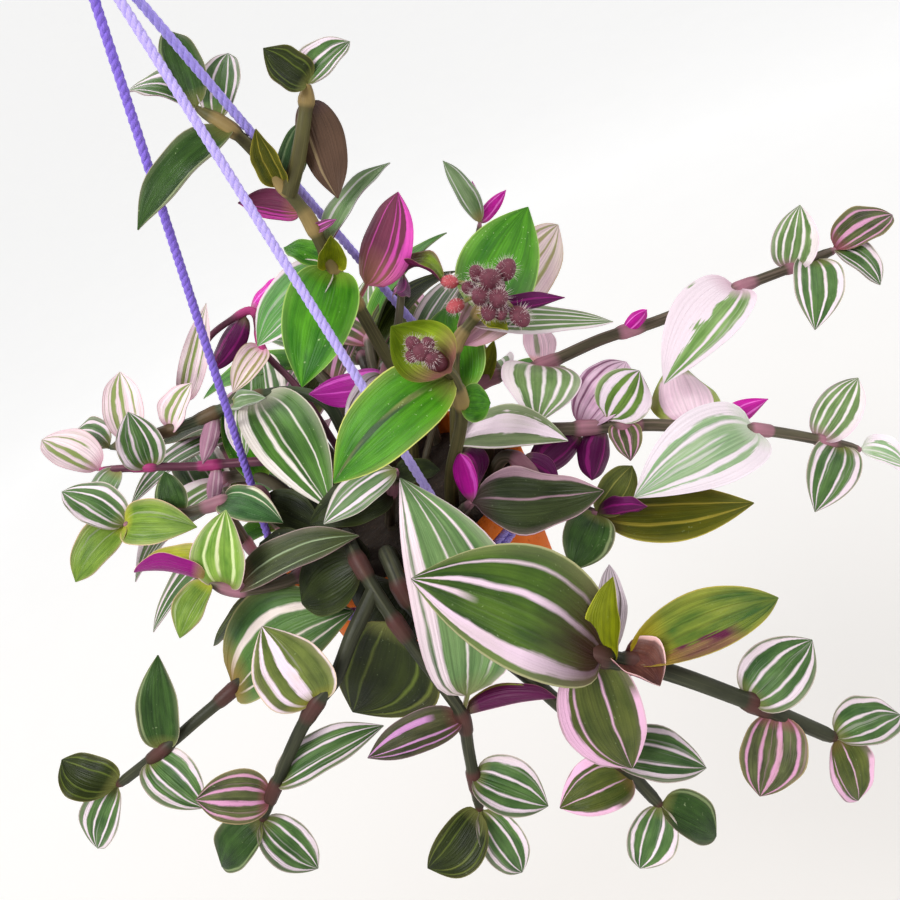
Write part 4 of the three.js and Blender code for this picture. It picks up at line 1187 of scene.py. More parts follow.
def corners_of(node):
    """A search tree of a solid's corners, in millimetres from the rim."""
    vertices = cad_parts[node].data.vertices
    tree = KDTree(len(vertices))
    for i, vertex in enumerate(vertices):
        tree.insert(vertex.co * 1000 + Vector((0, 0, LOOP_TOP)), i)
    tree.balance()
    return tree


def as_in_solid(leaf, tree):
    """The leaf as it is in the solid, or None where the solid left it out."""
    for scale in SHRINKS:
        for pitch, yaw in bends:
            tried = bent(leaf, pitch, yaw, scale)
            if tree.find(tried["tip"])[2] < TIP_CORNER:
                return tried
    return None


for name, parts in plant.items():
    tree = corners_of(name)
    for part in parts:
        part["leaves"] = [leaf for leaf in (as_in_solid(leaf, tree) for leaf in part["leaves"]) if leaf]
kept_count = sum(len(part["leaves"]) for parts in plant.values() for part in parts)
print("Leaves that the solids left out:", leaf_count - kept_count)

# %% [markdown]
# No two leaves are striped alike, but each is made of the same few things: a green ground with
# darker clouds, pale stripes that run from foot to tip and narrow with the leaf, a thin edge line,
# a tint at the foot, and a back that is purple. A pattern names those colours. Its bands are the
# stripes: how far each lies from the midrib and half its width, as shares of the half leaf. A third
# number says where along the leaf it begins, or ends if the number is negative.

# %% How patterns are written down
LEAF_COLOURS = ("ground", "deep", "stripe", "back", "edge", "foot")
MOST_BANDS = 5
PLAIN = dict(
    ground=(84, 124, 58), deep=(52, 86, 40), stripe=(232, 214, 224), back=(104, 40, 74),
    edge=(196, 186, 168), foot=(116, 118, 62), foot_length=0.15, bands=[], streaks=0.0, flecks=0.25,
    rib=0.25, wave=0.7, cup=0.0, curl=0.0, clasp=0.5, stalk=0.02, bow=0.0,
)
PATTERNS = {}


def pattern(name, **ways):
    """Keeps a pattern, written down as the ways in which it departs from the plain one."""
    whole = {**PLAIN, **ways}
    for part in LEAF_COLOURS:
        whole[part] = rgb(*whole[part])
    PATTERNS[name] = whole


print("A pattern has", len(PLAIN), "values, of which", len(LEAF_COLOURS), "are colours")

# %% [markdown]
# The leaves round the buds are fresh green and hardly striped. Yellow green ones are young, or
# are the small bracts that sheathe a joint. Where one is folded, the colour of its back shows.

# %% Green and yellow green leaves
pattern("fresh", ground=(78, 144, 26), deep=(38, 98, 14), back=(108, 118, 84), edge=(176, 206, 112),
        foot=(120, 150, 50), flecks=1.0, rib=0.35)
pattern("fresh_ribbed", ground=(76, 138, 24), deep=(40, 98, 12), stripe=(52, 76, 44), back=(98, 110, 84),
        edge=(206, 206, 110), foot=(128, 130, 60), flecks=1.0, rib=0.3, bands=[(-0.14, 0.085, 0.2)])
pattern("bract", ground=(150, 174, 44), deep=(118, 146, 30), stripe=(206, 130, 160), back=(110, 140, 60),
        edge=(178, 196, 60), foot=(150, 84, 96), foot_length=0.4, rib=0.1, cup=0.45, curl=0.6, wave=0.1)
pattern("edged_green", ground=(104, 158, 82), deep=(74, 132, 58), edge=(232, 218, 214),
        foot=(226, 208, 196), streaks=0.25, bands=[(0.93, 0.1), (-0.95, 0.07), (0.42, 0.03, 0.02)])
pattern("lime", ground=(126, 134, 16), deep=(96, 104, 8), edge=(206, 204, 70), foot=(176, 174, 22),
        back=(128, 116, 48))
pattern("hood", ground=(240, 216, 226), deep=(228, 196, 212), stripe=(142, 160, 70), edge=(176, 196, 90),
        back=(176, 160, 150), foot=(190, 130, 160), cup=0.3, curl=-0.4, rib=0.1,
        bands=[(0.9, 0.2), (-0.9, 0.2), (0, 1.5, 0.76)])
pattern("curled_lime", ground=(106, 132, 24), deep=(64, 66, 24), stripe=(96, 20, 62),
        edge=(178, 120, 120), back=(84, 26, 54), foot=(84, 30, 52), foot_length=0.4, curl=0.5,
        bands=[(-0.75, 0.2)])
pattern("lime_green", ground=(122, 150, 56), deep=(84, 116, 36), edge=(216, 176, 150),
        foot=(182, 184, 60), streaks=0.15)
pattern("lime_striped", ground=(128, 160, 66), deep=(80, 120, 36), stripe=(196, 208, 150),
        edge=(222, 184, 190), bands=[(0.5, 0.05), (0.1, 0.06, 0.2), (-0.5, 0.06, 0.1)])
pattern("gold_plum", ground=(168, 172, 40), deep=(132, 130, 30), edge=(216, 190, 140), back=(134, 8, 110),
        foot=(176, 176, 40))
pattern("gold_green", ground=(124, 136, 48), deep=(56, 90, 32), stripe=(92, 30, 62), edge=(206, 186, 90),
        back=(98, 34, 66), foot=(186, 160, 26), foot_length=0.22, clasp=0.9, bands=[(-0.72, 0.4, -0.6)])
pattern("olive", ground=(90, 90, 8), deep=(60, 68, 6), stripe=(146, 134, 46), edge=(206, 190, 70),
        back=(98, 40, 70), foot=(92, 76, 16), bands=[(0.3, 0.04, 0.1), (-0.35, 0.05, 0.1)])
pattern("sage", ground=(132, 156, 110), deep=(88, 120, 70), edge=(204, 198, 204), foot=(150, 136, 84),
        stripe=(206, 204, 200), streaks=0.2, bands=[(0.55, 0.06, 0.2), (-0.7, 0.05, 0.1)])
pattern("sage_striped", ground=(116, 140, 96), deep=(70, 104, 58), edge=(226, 214, 204), streaks=0.4,
        bands=[(0.3, 0.12, 0.1), (-0.35, 0.07, 0.02), (-0.85, 0.08)])
pattern("lined_green", ground=(66, 96, 56), deep=(46, 74, 42), edge=(124, 140, 90), foot=(150, 160, 60),
        stripe=(120, 140, 100), bands=[(0.0, 0.06), (0.6, 0.06, 0.1)])
print(len(PATTERNS), "leaf patterns so far")

# %% [markdown]
# Leaves in the shade of others are painted a green that is nearly black, as painted shade, and their
# lines are dull. The shade leaves are dark sheets of painted shade that fill gaps between the leaves.

# %% Dark leaves
pattern("deep", ground=(56, 86, 34), deep=(32, 56, 20), edge=(176, 168, 140), back=(70, 34, 48),
        stripe=(120, 140, 90), flecks=0.5, bands=[(0.84, 0.05, 0.05)])
# Painted shade: dark sheets that fill the gaps between leaves, where there is only shadow.
pattern("shade", ground=(44, 54, 18), deep=(24, 32, 10), edge=(70, 78, 36), foot=(40, 34, 18),
        back=(46, 20, 32), flecks=0.2)
pattern("deep_lined", ground=(44, 54, 12), deep=(26, 34, 8), edge=(120, 116, 60), stripe=(88, 102, 36),
        bow=0.13, bands=[(0.45, 0.03, 0.1), (0.78, 0.03, 0.1), (-0.4, 0.025, 0.1), (-0.75, 0.03, 0.05)])
pattern("slate", ground=(66, 76, 36), deep=(40, 50, 22), edge=(172, 152, 144), foot=(112, 84, 60),
        stripe=(146, 164, 124), rib=0.1, bands=[(0.3, 0.035, 0.02), (-0.5, 0.03, 0.1)])
pattern("dark_wavy", ground=(52, 62, 32), deep=(30, 38, 18), edge=(196, 162, 170), foot=(60, 40, 40),
        stripe=(150, 118, 132), back=(92, 20, 76), wave=2.2, bands=[(0.86, 0.1), (0.2, 0.03, 0.05)])
pattern("dark_olive", ground=(84, 92, 34), deep=(56, 64, 22), stripe=(128, 128, 60), edge=(140, 130, 70),
        back=(90, 40, 60), bands=[(0.3, 0.04, 0.1), (-0.4, 0.03, 0.1)])
pattern("dark_edged", ground=(66, 108, 56), deep=(34, 70, 30), edge=(222, 196, 176), foot=(44, 50, 30),
        stripe=(214, 214, 188), bands=[(0.9, 0.06, 0.4), (0.55, 0.03, 0.02)])
print(len(PATTERNS), "leaf patterns so far")

# %% [markdown]
# Most leaves are green with a few pale stripes. The large leaves in front have patterns of their
# own, with as many stripes as the real ones show on each side of the midrib.

# %% Striped leaves
pattern("striped", ground=(86, 118, 62), deep=(52, 84, 40), edge=(214, 196, 190), streaks=0.2,
        bands=[(0.82, 0.1), (0.3, 0.05), (-0.3, 0.04, 0.02), (-0.72, 0.08)])
pattern("bold_striped", ground=(80, 122, 48), deep=(46, 78, 30), stripe=(240, 230, 224),
        edge=(216, 206, 190), foot=(196, 196, 170), flecks=0.4,
        bands=[(-0.84, 0.14), (-0.33, 0.07), (-0.1, 0.018, 0.05), (0.45, 0.02, 0.1)])
pattern("tall_striped", ground=(112, 142, 88), deep=(60, 96, 50), stripe=(238, 220, 226),
        edge=(222, 198, 206), foot=(120, 110, 70), streaks=0.25, stalk=0.1, bow=-0.13,
        bands=[(0.93, 0.1), (0.66, 0.09), (0.05, 0.02, 0.1), (-0.5, 0.03, 0.2)])
pattern("front_striped", ground=(80, 108, 34), deep=(40, 66, 22), stripe=(232, 204, 222),
        edge=(180, 176, 130), foot=(64, 28, 36), foot_length=0.34, flecks=0.4, bow=-0.04,
        bands=[(-0.66, 0.022, 0.15), (-0.22, 0.055), (0.14, 0.07, 0.74), (0.72, 0.13)])
pattern("round_striped", ground=(106, 118, 54), deep=(68, 82, 34), stripe=(236, 214, 228),
        edge=(214, 190, 160), foot=(132, 124, 40), streaks=0.15,
        bands=[(0.06, 0.15), (0.62, 0.07), (0.98, 0.06), (-0.98, 0.06)])
pattern("one_stripe", ground=(86, 122, 56), deep=(46, 82, 36), stripe=(228, 214, 206),
        edge=(166, 160, 110), foot=(140, 112, 60), bow=0.12,
        bands=[(0.42, 0.09), (-0.25, 0.02, 0.05), (-0.6, 0.025, 0.1)])
pattern("silver_striped", ground=(120, 146, 92), deep=(84, 114, 58), stripe=(232, 222, 222),
        edge=(232, 206, 222), back=(188, 138, 166), foot=(160, 120, 130), rib=0.0,
        bands=[(-0.86, 0.2), (-0.33, 0.06), (0.06, 0.04, 0.02), (0.42, 0.05, 0.02), (0.74, 0.04, 0.03)])
pattern("fan_striped", ground=(106, 136, 58), deep=(70, 100, 36), stripe=(226, 208, 220),
        edge=(216, 204, 196), back=(198, 150, 180), foot=(176, 116, 120), rib=0.0, stalk=0.16,
        bands=[(-0.8, 0.16), (-0.35, 0.06), (0.12, 0.1), (0.62, 0.14)])
print(len(PATTERNS), "leaf patterns so far")

# %% [markdown]
# Where the stripes have run together a leaf is white or pink, and green is what is left as
# stripes. So ground and stripe change places in most of these patterns.

# %% Pale leaves
pattern("pale_striped", ground=(222, 204, 214), deep=(206, 190, 200), stripe=(104, 92, 90),
        edge=(206, 196, 196), back=(190, 150, 172), streaks=0.2, rib=0.0,
        bands=[(-0.6, 0.05), (-0.25, 0.04), (0.15, 0.04), (0.5, 0.06), (0.8, 0.04)])
pattern("cream_striped", ground=(226, 206, 200), deep=(212, 178, 190), stripe=(142, 140, 84),
        edge=(184, 158, 116), back=(190, 140, 160), foot=(214, 150, 178), streaks=0.25, rib=0.0,
        bands=[(-0.5, 0.07), (-0.1, 0.05), (0.35, 0.1), (0.75, 0.07)])
pattern("white_centre", ground=(124, 140, 98), deep=(96, 114, 72), stripe=(240, 220, 232),
        edge=(206, 204, 180), rib=0.0, foot=(220, 200, 210), bands=[(0.28, 0.4), (-0.93, 0.05, 0.1)])
pattern("white_heart", ground=(156, 180, 138), deep=(128, 164, 116), stripe=(236, 222, 230),
        edge=(244, 232, 240), back=(214, 180, 204), foot=(206, 214, 196), streaks=0.45, rib=0.2,
        bands=[(-0.86, 0.24), (0.84, 0.26), (-0.42, 0.06), (0.4, 0.07), (-0.12, 0.02, 0.3)])
pattern("blush_white", ground=(138, 168, 104), deep=(96, 136, 62), stripe=(236, 218, 228),
        edge=(240, 222, 232), back=(222, 190, 212), foot=(214, 180, 196), streaks=0.3, rib=0.0,
        bands=[(-0.55, 0.5), (0.42, 0.05), (0.9, 0.13)])
pattern("blush_green", ground=(236, 216, 218), deep=(226, 200, 208), stripe=(134, 150, 84),
        edge=(206, 164, 170), back=(196, 120, 170), streaks=0.35, rib=0.0, foot=(196, 140, 160),
        bands=[(0.05, 0.1), (0.45, 0.12, 0.05), (-0.5, 0.05, 0.3)])
pattern("blush", ground=(236, 204, 218), deep=(226, 190, 206), stripe=(146, 150, 124),
        edge=(240, 214, 222), back=(222, 170, 196), rib=0.0, foot=(228, 150, 120),
        bands=[(0.1, 0.14, 0.2)])
pattern("pink_lined", ground=(248, 216, 236), deep=(240, 200, 228), stripe=(140, 84, 120),
        edge=(206, 172, 196), back=(190, 110, 170), rib=0.0, foot=(120, 60, 92),
        bands=[(-0.62, 0.02), (-0.25, 0.025), (0.2, 0.018), (0.55, 0.035), (0.85, 0.06)])
print(len(PATTERNS), "leaf patterns so far")

# %% [markdown]
# Some leaves are rosy above. The magenta and plum ones are rolled or seen from below, so they
# show their backs. The dark purple of the plum backs is painted shade.

# %% Rose, magenta and plum leaves
pattern("rose_striped", ground=(92, 98, 58), deep=(58, 62, 36), stripe=(206, 146, 182),
        edge=(168, 148, 110), streaks=0.2, foot=(140, 70, 84),
        bands=[(0.2, 0.09), (-0.3, 0.05), (0.76, 0.05), (-0.75, 0.05, 0.1)])
pattern("mauve_striped", ground=(84, 84, 54), deep=(50, 56, 34), stripe=(212, 150, 206),
        edge=(150, 120, 130), foot=(110, 60, 60), bands=[(-0.45, 0.14, 0.3), (0.3, 0.05), (0.66, 0.04)])
pattern("pink_edged", ground=(88, 96, 40), deep=(58, 70, 26), stripe=(236, 184, 216),
        edge=(214, 176, 190), foot=(110, 90, 50), bow=-0.06,
        bands=[(-0.82, 0.14), (0.92, 0.1, 0.35), (-0.5, 0.02, 0.2), (0.2, 0.02, 0.1)])
pattern("bronze_edged", ground=(100, 60, 50), deep=(70, 36, 36), edge=(240, 200, 200),
        stripe=(206, 160, 156), foot=(120, 60, 60), curl=0.3, bands=[(0.97, 0.07), (-0.97, 0.07)])
pattern("mauve", ground=(150, 110, 130), deep=(110, 80, 90), back=(176, 128, 150), stripe=(206, 176, 186),
        bands=[(0.1, 0.1), (-0.5, 0.1)])
pattern("magenta", ground=(150, 90, 120), deep=(120, 60, 96), stripe=(246, 120, 224), back=(196, 20, 156),
        edge=(238, 130, 220), bands=[(0.4, 0.12), (-0.5, 0.06, 0.1)])
pattern("magenta_curl", ground=(120, 124, 40), deep=(90, 96, 30), stripe=(240, 90, 220),
        back=(196, 20, 160), edge=(220, 150, 190), curl=1.5, bands=[(0.3, 0.1)])
pattern("magenta_tall", ground=(104, 120, 66), deep=(84, 92, 50), stripe=(236, 84, 196),
        back=(112, 52, 74), edge=(236, 110, 200), foot=(186, 130, 84), foot_length=0.4, stalk=0.17,
        bands=[(0.42, 0.06), (0.85, 0.2), (0.18, 0.02), (-0.45, 0.02, 0.1)])
pattern("magenta_bright", ground=(120, 60, 96), deep=(90, 30, 66), stripe=(226, 90, 206),
        back=(158, 30, 136), edge=(226, 120, 206), foot=(96, 40, 84), bands=[(0.6, 0.12), (-0.2, 0.04)])
pattern("magenta_back", ground=(104, 120, 66), deep=(84, 92, 50), stripe=(226, 70, 186),
        back=(112, 44, 76), edge=(206, 96, 160), foot=(166, 116, 70), foot_length=0.3, stalk=0.1,
        bands=[(-0.45, 0.09), (-0.8, 0.2), (-0.15, 0.03)])
# The plum backs are darker than the magenta back as painted shade.
pattern("plum", ground=(120, 132, 44), deep=(90, 100, 30), stripe=(150, 30, 120), back=(88, 16, 74),
        edge=(150, 96, 110), curl=0.4, bands=[(0.4, 0.12), (-0.4, 0.06, 0.1)])
pattern("plum_curl", ground=(128, 140, 40), deep=(96, 104, 30), stripe=(150, 30, 110), back=(84, 18, 64),
        edge=(176, 110, 130), curl=1.0, bands=[(0.4, 0.1)])
pattern("bronze_back", ground=(86, 96, 50), deep=(60, 70, 36), stripe=(150, 130, 96), back=(84, 62, 48),
        edge=(110, 90, 70), foot=(60, 40, 50), bands=[(0.4, 0.06)])
print(len(PATTERNS), "leaf patterns so far")

# %% [markdown]
# A leaf starts as a flat blank: a grid that is made thin but solid. Two shares say where each
# point lies on it: along from foot to tip, and across from edge to edge. The points crowd towards
# the foot and the tip, where the outline turns fastest.

# %% Blank of a leaf
CELLS_ALONG = 22
CELLS_ACROSS = 10
EVEN_PART = 0.45
CROWDED_PART = 0.55
bpy.ops.object.select_all(action="DESELECT")
bpy.ops.mesh.primitive_grid_add(x_subdivisions=CELLS_ALONG, y_subdivisions=CELLS_ACROSS, size=1)
blank = bpy.context.object
for vertex in blank.data.vertices:
    share = vertex.co.x + 0.5
    vertex.co.x = EVEN_PART * share + CROWDED_PART * (0.5 - 0.5 * math.cos(math.pi * share))
    vertex.co.y *= 2
thin = blank.modifiers.new("thickness", "SOLIDIFY")
thin.thickness = 0.01
thin.offset = 0
bpy.ops.object.modifier_apply(modifier=thin.name)
blank_points = np.array([tuple(vertex.co) for vertex in blank.data.vertices])
blank_faces = [tuple(face.vertices) for face in blank.data.polygons]
bpy.data.objects.remove(blank)
along_leaf, across_leaf = blank_points[:, 0], blank_points[:, 1]
upper_side = np.sign(blank_points[:, 2])
print("A leaf has", len(blank_faces), "faces")

# %% [markdown]
# To shape a leaf, every point of the blank is carried to its place: along the run from foot to
# tip, which bows, and out to an edge that is round near the foot and drawn out to a point. The
# section folds up like a shallow boat, and the edges ripple a little, as they do on a real leaf.

# %% Shaping a leaf
LEAF_THICKNESS = 0.55
EDGE_THINNING = 0.45
STALK_THICKNESS = 1.1
TIP_THICKNESS = 0.22
FOLD_ROLL = 1.5
KEEL = 0.35
MOST_TWIST = 0.16
EDGE_LAG = 1.7
RIPPLES = (1.4, 2.4)
FULL_TURN = 6.28
FROM_FOOT = 0.01
NO_BAND = (5, 0)


def half_width(share):
    """Half the width of a blade along its length: 0 at its ends and about 1 where it is widest."""
    return 2.16 * share**0.44 * (1 - share) ** 0.7 * (1 - 0.5 * share**8)


def shaped(leaf, chance):
    """Places of a leaf's points, in millimetres."""
    way = PATTERNS[leaf["pattern"]]
    base, tip, face = (np.array(leaf[key]) for key in ("base", "tip", "face"))
    run = tip - base
    length = np.linalg.norm(run)
    along = run / length
    normal = face - along * face.dot(along)
    normal /= np.linalg.norm(normal)
    side = np.cross(normal, along)
    u, v = along_leaf[:, None], across_leaf[:, None]
    least = np.where(u < 0.5, STALK_THICKNESS, TIP_THICKNESS)
    blade = np.clip((u - way["stalk"]) / (1 - way["stalk"]), 0, 1)
    reach = np.maximum(leaf["width"] / 2 * half_width(blade), least)
    slope = leaf["arch"] * 4 * (1 - 2 * u)
    local = normal - along * slope
    local /= np.linalg.norm(local, axis=1)[:, None]
    bowed = length * 4 * u * (1 - u)
    middle = base + run * u + normal * (leaf["arch"] * bowed) + side * (way["bow"] * bowed)
    roll = math.sin(leaf["fold"]) * FOLD_ROLL + way["curl"] + way["clasp"] * (1 - u) ** 3
    roll = np.where(np.abs(roll) < 1e-3, 1e-3, roll)
    out = np.sin(roll * v) / roll
    rise = (1 - np.cos(roll * v)) / roll
    keel = KEEL * math.sin(leaf["fold"]) * (np.sqrt(v**2 + 0.012) - 0.11)
    phase, ripples = chance.uniform(0, FULL_TURN), chance.uniform(*RIPPLES)
    ripple = np.sin(ripples * 2 * math.pi * u + phase + EDGE_LAG * np.sign(v))
    lift = way["wave"] * ripple * v**2 * np.sin(math.pi * u)
    lift += way["cup"] * leaf["width"] * (2 * u - 1) ** 2 * 0.5
    twist = chance.uniform(-MOST_TWIST, MOST_TWIST) * (u - 0.3)
    tilted = local * np.cos(twist) + side * np.sin(twist)
    outward = side * np.cos(twist) - local * np.sin(twist)
    thickness = LEAF_THICKNESS / 2 * (1 - EDGE_THINNING * v**2)
    height = reach * (rise + keel) + lift + upper_side[:, None] * thickness
    return middle + outward * reach * out + tilted * height


def leaf_facts(leaf, chance):
    """What the leaf paint needs to know."""
    way = PATTERNS[leaf["pattern"]]
    shade = chance.uniform(0.9, 1.1)
    facts = {part: np.array(way[part]) * shade for part in LEAF_COLOURS}
    facts["spot"] = np.stack([along_leaf, across_leaf, (1 - upper_side) / 2], 1)
    facts["detail"] = np.array([way["streaks"], way["flecks"], way["rib"]])
    facts["chance"] = np.array([chance.uniform(0, 50), 1 / way["foot_length"], 0])
    bands = [*way["bands"], *[NO_BAND] * MOST_BANDS]
    for i, (middle, half, *start) in enumerate(bands[:MOST_BANDS]):
        facts[f"band_{i}"] = np.array([middle, half, *(start or [FROM_FOOT])])
    return facts


print("The widest place of a blade is", round(max(half_width(i / 100) for i in range(101)), 2))

# %% [markdown]
# The leaf paint reads the shares and the pattern at each point. Across the leaf, stripes are
# bands with a wavering edge. The share across is counted from midrib to edge, so that all
# stripes meet at the foot and the tip like the veins. The skin is satin, with fine veins that
# catch the light and small pale flecks.

# %% Leaf paint
SHINE = 0.2
SWAY = 0.2


def leaf_paint():
    """Satin skin: clouded green, frayed stripes, a rib, flecks, an edge line, and a purple back."""
    paint = Paint("leaf")
    along, across, under = paint.parts(paint.attribute("spot"))
    streaks, flecks, rib = paint.parts(paint.attribute("detail"))
    chance, foot_fade, _ = paint.parts(paint.attribute("chance"))
    place = paint.place()
    drift = paint.cloud(paint.joined(along * 2.6, across * 0.9, chance), 1, 2) - 0.5
    frayed = paint.cloud(paint.joined(along * 1.4, across * 14, chance + 9), 1, 3)
    width = paint.cloud(paint.joined(along * 4, across * 1.3, chance + 9), 1, 3) * 1.3 + frayed * 1.1 - 0.2
    swayed = across + drift * SWAY
    stripes = None
    for i in range(MOST_BANDS):
        middle, half, start = paint.parts(paint.attribute(f"band_{i}"))
        within = ((half * width - (swayed - middle).size()) * 20 + 0.5).clamp()
        reached = ((along * start.sign() - start) * 9 + 0.5).clamp()
        stripe = within * reached
        stripes = stripe if stripes is None else stripes.most(stripe)
    lines = paint.cloud(paint.joined(along * 0.7, swayed * 8, chance + 3), 1, 2)
    stripes = stripes.most(lines.above(0.6, 14) * streaks)
    clouds = paint.cloud(paint.joined(along * 3, across * 2.4, chance + 5), 1, 4).above(0.36, 3)
    veins = paint.cloud(paint.joined(along * 0.5, across * 17, chance), 1, 1)
    cells = paint.cloud(place, 1700, 2)
    ground = paint.mix(clouds, paint.attribute("ground"), paint.attribute("deep"))
    ground = paint.scaled(ground, veins * 0.7 + frayed * 0.5 + 0.4)
    ribbed = (1 - (across + drift * 0.04).size() * 26).clamp() * (1 - along).clamp()
    ground = paint.scaled(ground, 1 - ribbed * rib)
    blush = paint.cloud(paint.joined(along * 2, across * 2, chance + 7), 1, 2)
    pale = paint.mix((blush - 0.5).clamp() * 1.6, paint.attribute("stripe"), paint.attribute("edge"))
    colour = paint.mix(stripes, ground, paint.scaled(pale, veins * 0.14 + 0.93))
    specks = paint.cloud(place, 900, 1).above(0.7, 14) * blush.above(0.45, 6)
    colour = paint.mix(specks * flecks * 0.6, colour, rgb(206, 226, 170))
    foot = (1.3 - along * foot_fade).clamp()
    colour = paint.mix(foot * 0.85, colour, paint.attribute("foot"))
    margin = across.size().above(0.7, 3) * blush
    colour = paint.mix(margin * 0.45, colour, paint.attribute("edge"))
    rim = across.size().above(0.955, 40)
    colour = paint.mix(rim * 0.8, colour, paint.attribute("edge"))
    behind = paint.mix(stripes * 0.75, paint.attribute("back"), paint.attribute("stripe"))
    behind = paint.scaled(behind, veins * 0.6 + clouds * 0.25 + 0.62)
    behind = paint.mix(foot * 0.6, behind, paint.attribute("foot"))
    colour = paint.mix(under, colour, behind)
    colour = paint.scaled(colour, cells * 0.12 + 0.94)
    relief = paint.bump(veins * 1.4 + frayed + cells * 0.3, 0.6, 0.0005)
    paint.finish(Specular_IOR_Level=SHINE)
    return paint.finish(Base_Color=colour, Roughness=0.3 + cells * 0.2, Normal=relief)


leaf_skin = leaf_paint()
print("The leaf paint has", len(leaf_skin.node_tree.nodes), "nodes")

# %% [markdown]
# The bark reads how far along and round the stem a point lies, and whether it is on a sleeve.

# %% Stem paint


def stem_paint():
    """Juicy stems: brown green with fine lines, and swollen pink where a leaf starts."""
    paint = Paint("stem")
    length, around, node = paint.parts(paint.attribute("spot"))
    chance = paint.parts(paint.attribute("chance"))[0]
    lines = paint.cloud(paint.joined(length * 0.02, around * 9, chance), 1, 3)
    clouds = paint.cloud(paint.joined(length * 0.06, around * 2, chance + 4), 1, 3)
    grain = paint.cloud(paint.place(), 1500, 2)
    bark = paint.mix(clouds.above(0.4, 3), paint.attribute("ground"), paint.attribute("deep"))
    bark = paint.mix(lines.above(0.52, 7) * 0.5, bark, paint.attribute("stripe"))
    sheath = paint.scaled(paint.attribute("sleeve"), 1.15 - clouds * 0.6)
    colour = paint.mix(node, bark, paint.scaled(sheath, lines * 0.5 + 0.75))
    relief = paint.bump(lines + grain * 0.4, 0.35, 0.0004)
    paint.finish(Specular_IOR_Level=SHINE)
    return paint.finish(Base_Color=colour, Roughness=0.38 + grain * 0.2, Normal=relief)


stem_skin = stem_paint()
print("The stem paint has", len(stem_skin.node_tree.nodes), "nodes")

# %% [markdown]
# A stem of this plant is jointed. At each joint it swells, and the leaf's foot wraps it in a
# pinkish sleeve that ends in a small step. The tube of a stem has its radius set point by point
# to show that, and it tapers to a bud at its end.

# %% Stems
STEM_RADIUS = 3.1
STEM_TAPER = 0.3
STEM_STEPS = 1.6
STEM_SIDES = 10
JOINT_SWELL = 0.3
SLEEVE_LENGTH = 8.5
SLEEVE_FADE = 0.35
SLEEVE_LEAD = 3
SLEEVE_RISE = 2
SLEEVE_STEP = 1.2
END_TAPER = 5
END_BLUNT = 0.8
THINNEST_END = 0.12
JOINT_SPACING = 15
FIRST_JOINT = 1.5
BARK_COLOURS = ("ground", "deep", "stripe", "sleeve")
BARKS = {
    "brown": [(86, 80, 62), (58, 52, 42), (130, 112, 100), (172, 118, 134)],
    "green": [(70, 82, 56), (44, 54, 38), (112, 118, 92), (100, 80, 56)],
    "dark": [(56, 58, 42), (34, 36, 26), (88, 88, 66), (88, 54, 50)],
    "purple": [(98, 52, 70), (66, 36, 48), (146, 92, 106), (186, 66, 128)],
    "olive": [(84, 80, 46), (52, 44, 30), (122, 112, 70), (158, 134, 84)],
}
BARK_OF = {
    "stem_upright": "olive",
    "stem_bud_high": "olive",
    "stem_bud_low": "olive",
    "stem_left_arch": "purple",
    "stem_left_high": "purple",
    "stem_left_upper": "green",
    "stem_left_low": "dark",
    "stem_front_right": "dark",
    "stem_front_down": "dark",
    "stem_front_middle": "dark",
}
GIRTHS = {
    "stem_front_right": 1.3,
    "stem_front_down": 1.15,
    "stem_left_arch": 0.6,
    "stem_top_shoot": 0.6,
    "stem_centre": 0.8,
    "stem_centre_back": 0.7,
    "stem_left_high": 0.8,
}


def sleeves(gone, joints):
    """How much of a sleeve there is along a stem: 1 at a joint, and 0 between the sleeves."""
    sleeve = np.zeros(len(gone))
    last = -JOINT_SPACING
    for joint in sorted(joints):
        if joint - last < JOINT_SPACING:
            continue
        last = joint
        past = gone - joint
        rising = np.clip((past + SLEEVE_LEAD) / SLEEVE_RISE, 0, 1)
        falling = np.clip((SLEEVE_LENGTH - past) / SLEEVE_STEP, 0, 1)
        fading = 1 - SLEEVE_FADE * np.clip(past / SLEEVE_LENGTH, 0, 1)
        sleeve = np.maximum(sleeve, rising * falling * fading)
    return sleeve


def stem_body(part, girth, headed):
    """Points and faces of one stem, and what its paint needs to know."""
    dense = sampled(part["path"], STEM_STEPS)
    line = np.array([tuple(point) for _, point in dense])
    counts = np.array([count for count, _ in dense])
    gone = np.concatenate([[0], np.cumsum(np.linalg.norm(np.diff(line, axis=0), axis=1))])
    joints = [joint for joint in part["joints"] if joint > FIRST_JOINT]
    sleeve = sleeves(gone, np.interp(joints, counts, gone))
    radii = STEM_RADIUS * girth * (1 - STEM_TAPER * gone / gone[-1])
    radii = radii * (1 + JOINT_SWELL * sleeve)
    if not headed:
        left = gone[-1] - gone + END_BLUNT
        radii = radii * np.clip(left / END_TAPER, THINNEST_END, 1) ** 0.5
    points, faces = tube(line, radii, STEM_SIDES)
    half = STEM_SIDES // 2
    around = np.tile(np.abs(np.arange(STEM_SIDES) - half) / half, len(line))
    spot = np.stack([np.repeat(gone, STEM_SIDES), around, np.repeat(sleeve, STEM_SIDES)], 1)
    return points, faces, spot


def dressed(name, parts, chance):
    """One stem with its branch and leaves, as one piece."""
    shell = Shell()
    bark = BARKS[BARK_OF.get(name, "brown")]
    bark = {key: rgb(*colour) for key, colour in zip(BARK_COLOURS, bark)}
    headed = "head" in STEMS.get(name, {})
    for part in parts:
        points, faces, spot = stem_body(part, GIRTHS.get(name, 1), headed)
        shift = np.array([chance.uniform(0, 50), 0, 0])
        shell.add(points, faces, 1, spot=spot, chance=shift, **bark)
        for leaf in part["leaves"]:
            shell.add(shaped(leaf, chance), blank_faces, 0, **leaf_facts(leaf, chance))
    return shell.made(name + "_leaves", leaf_skin, stem_skin)


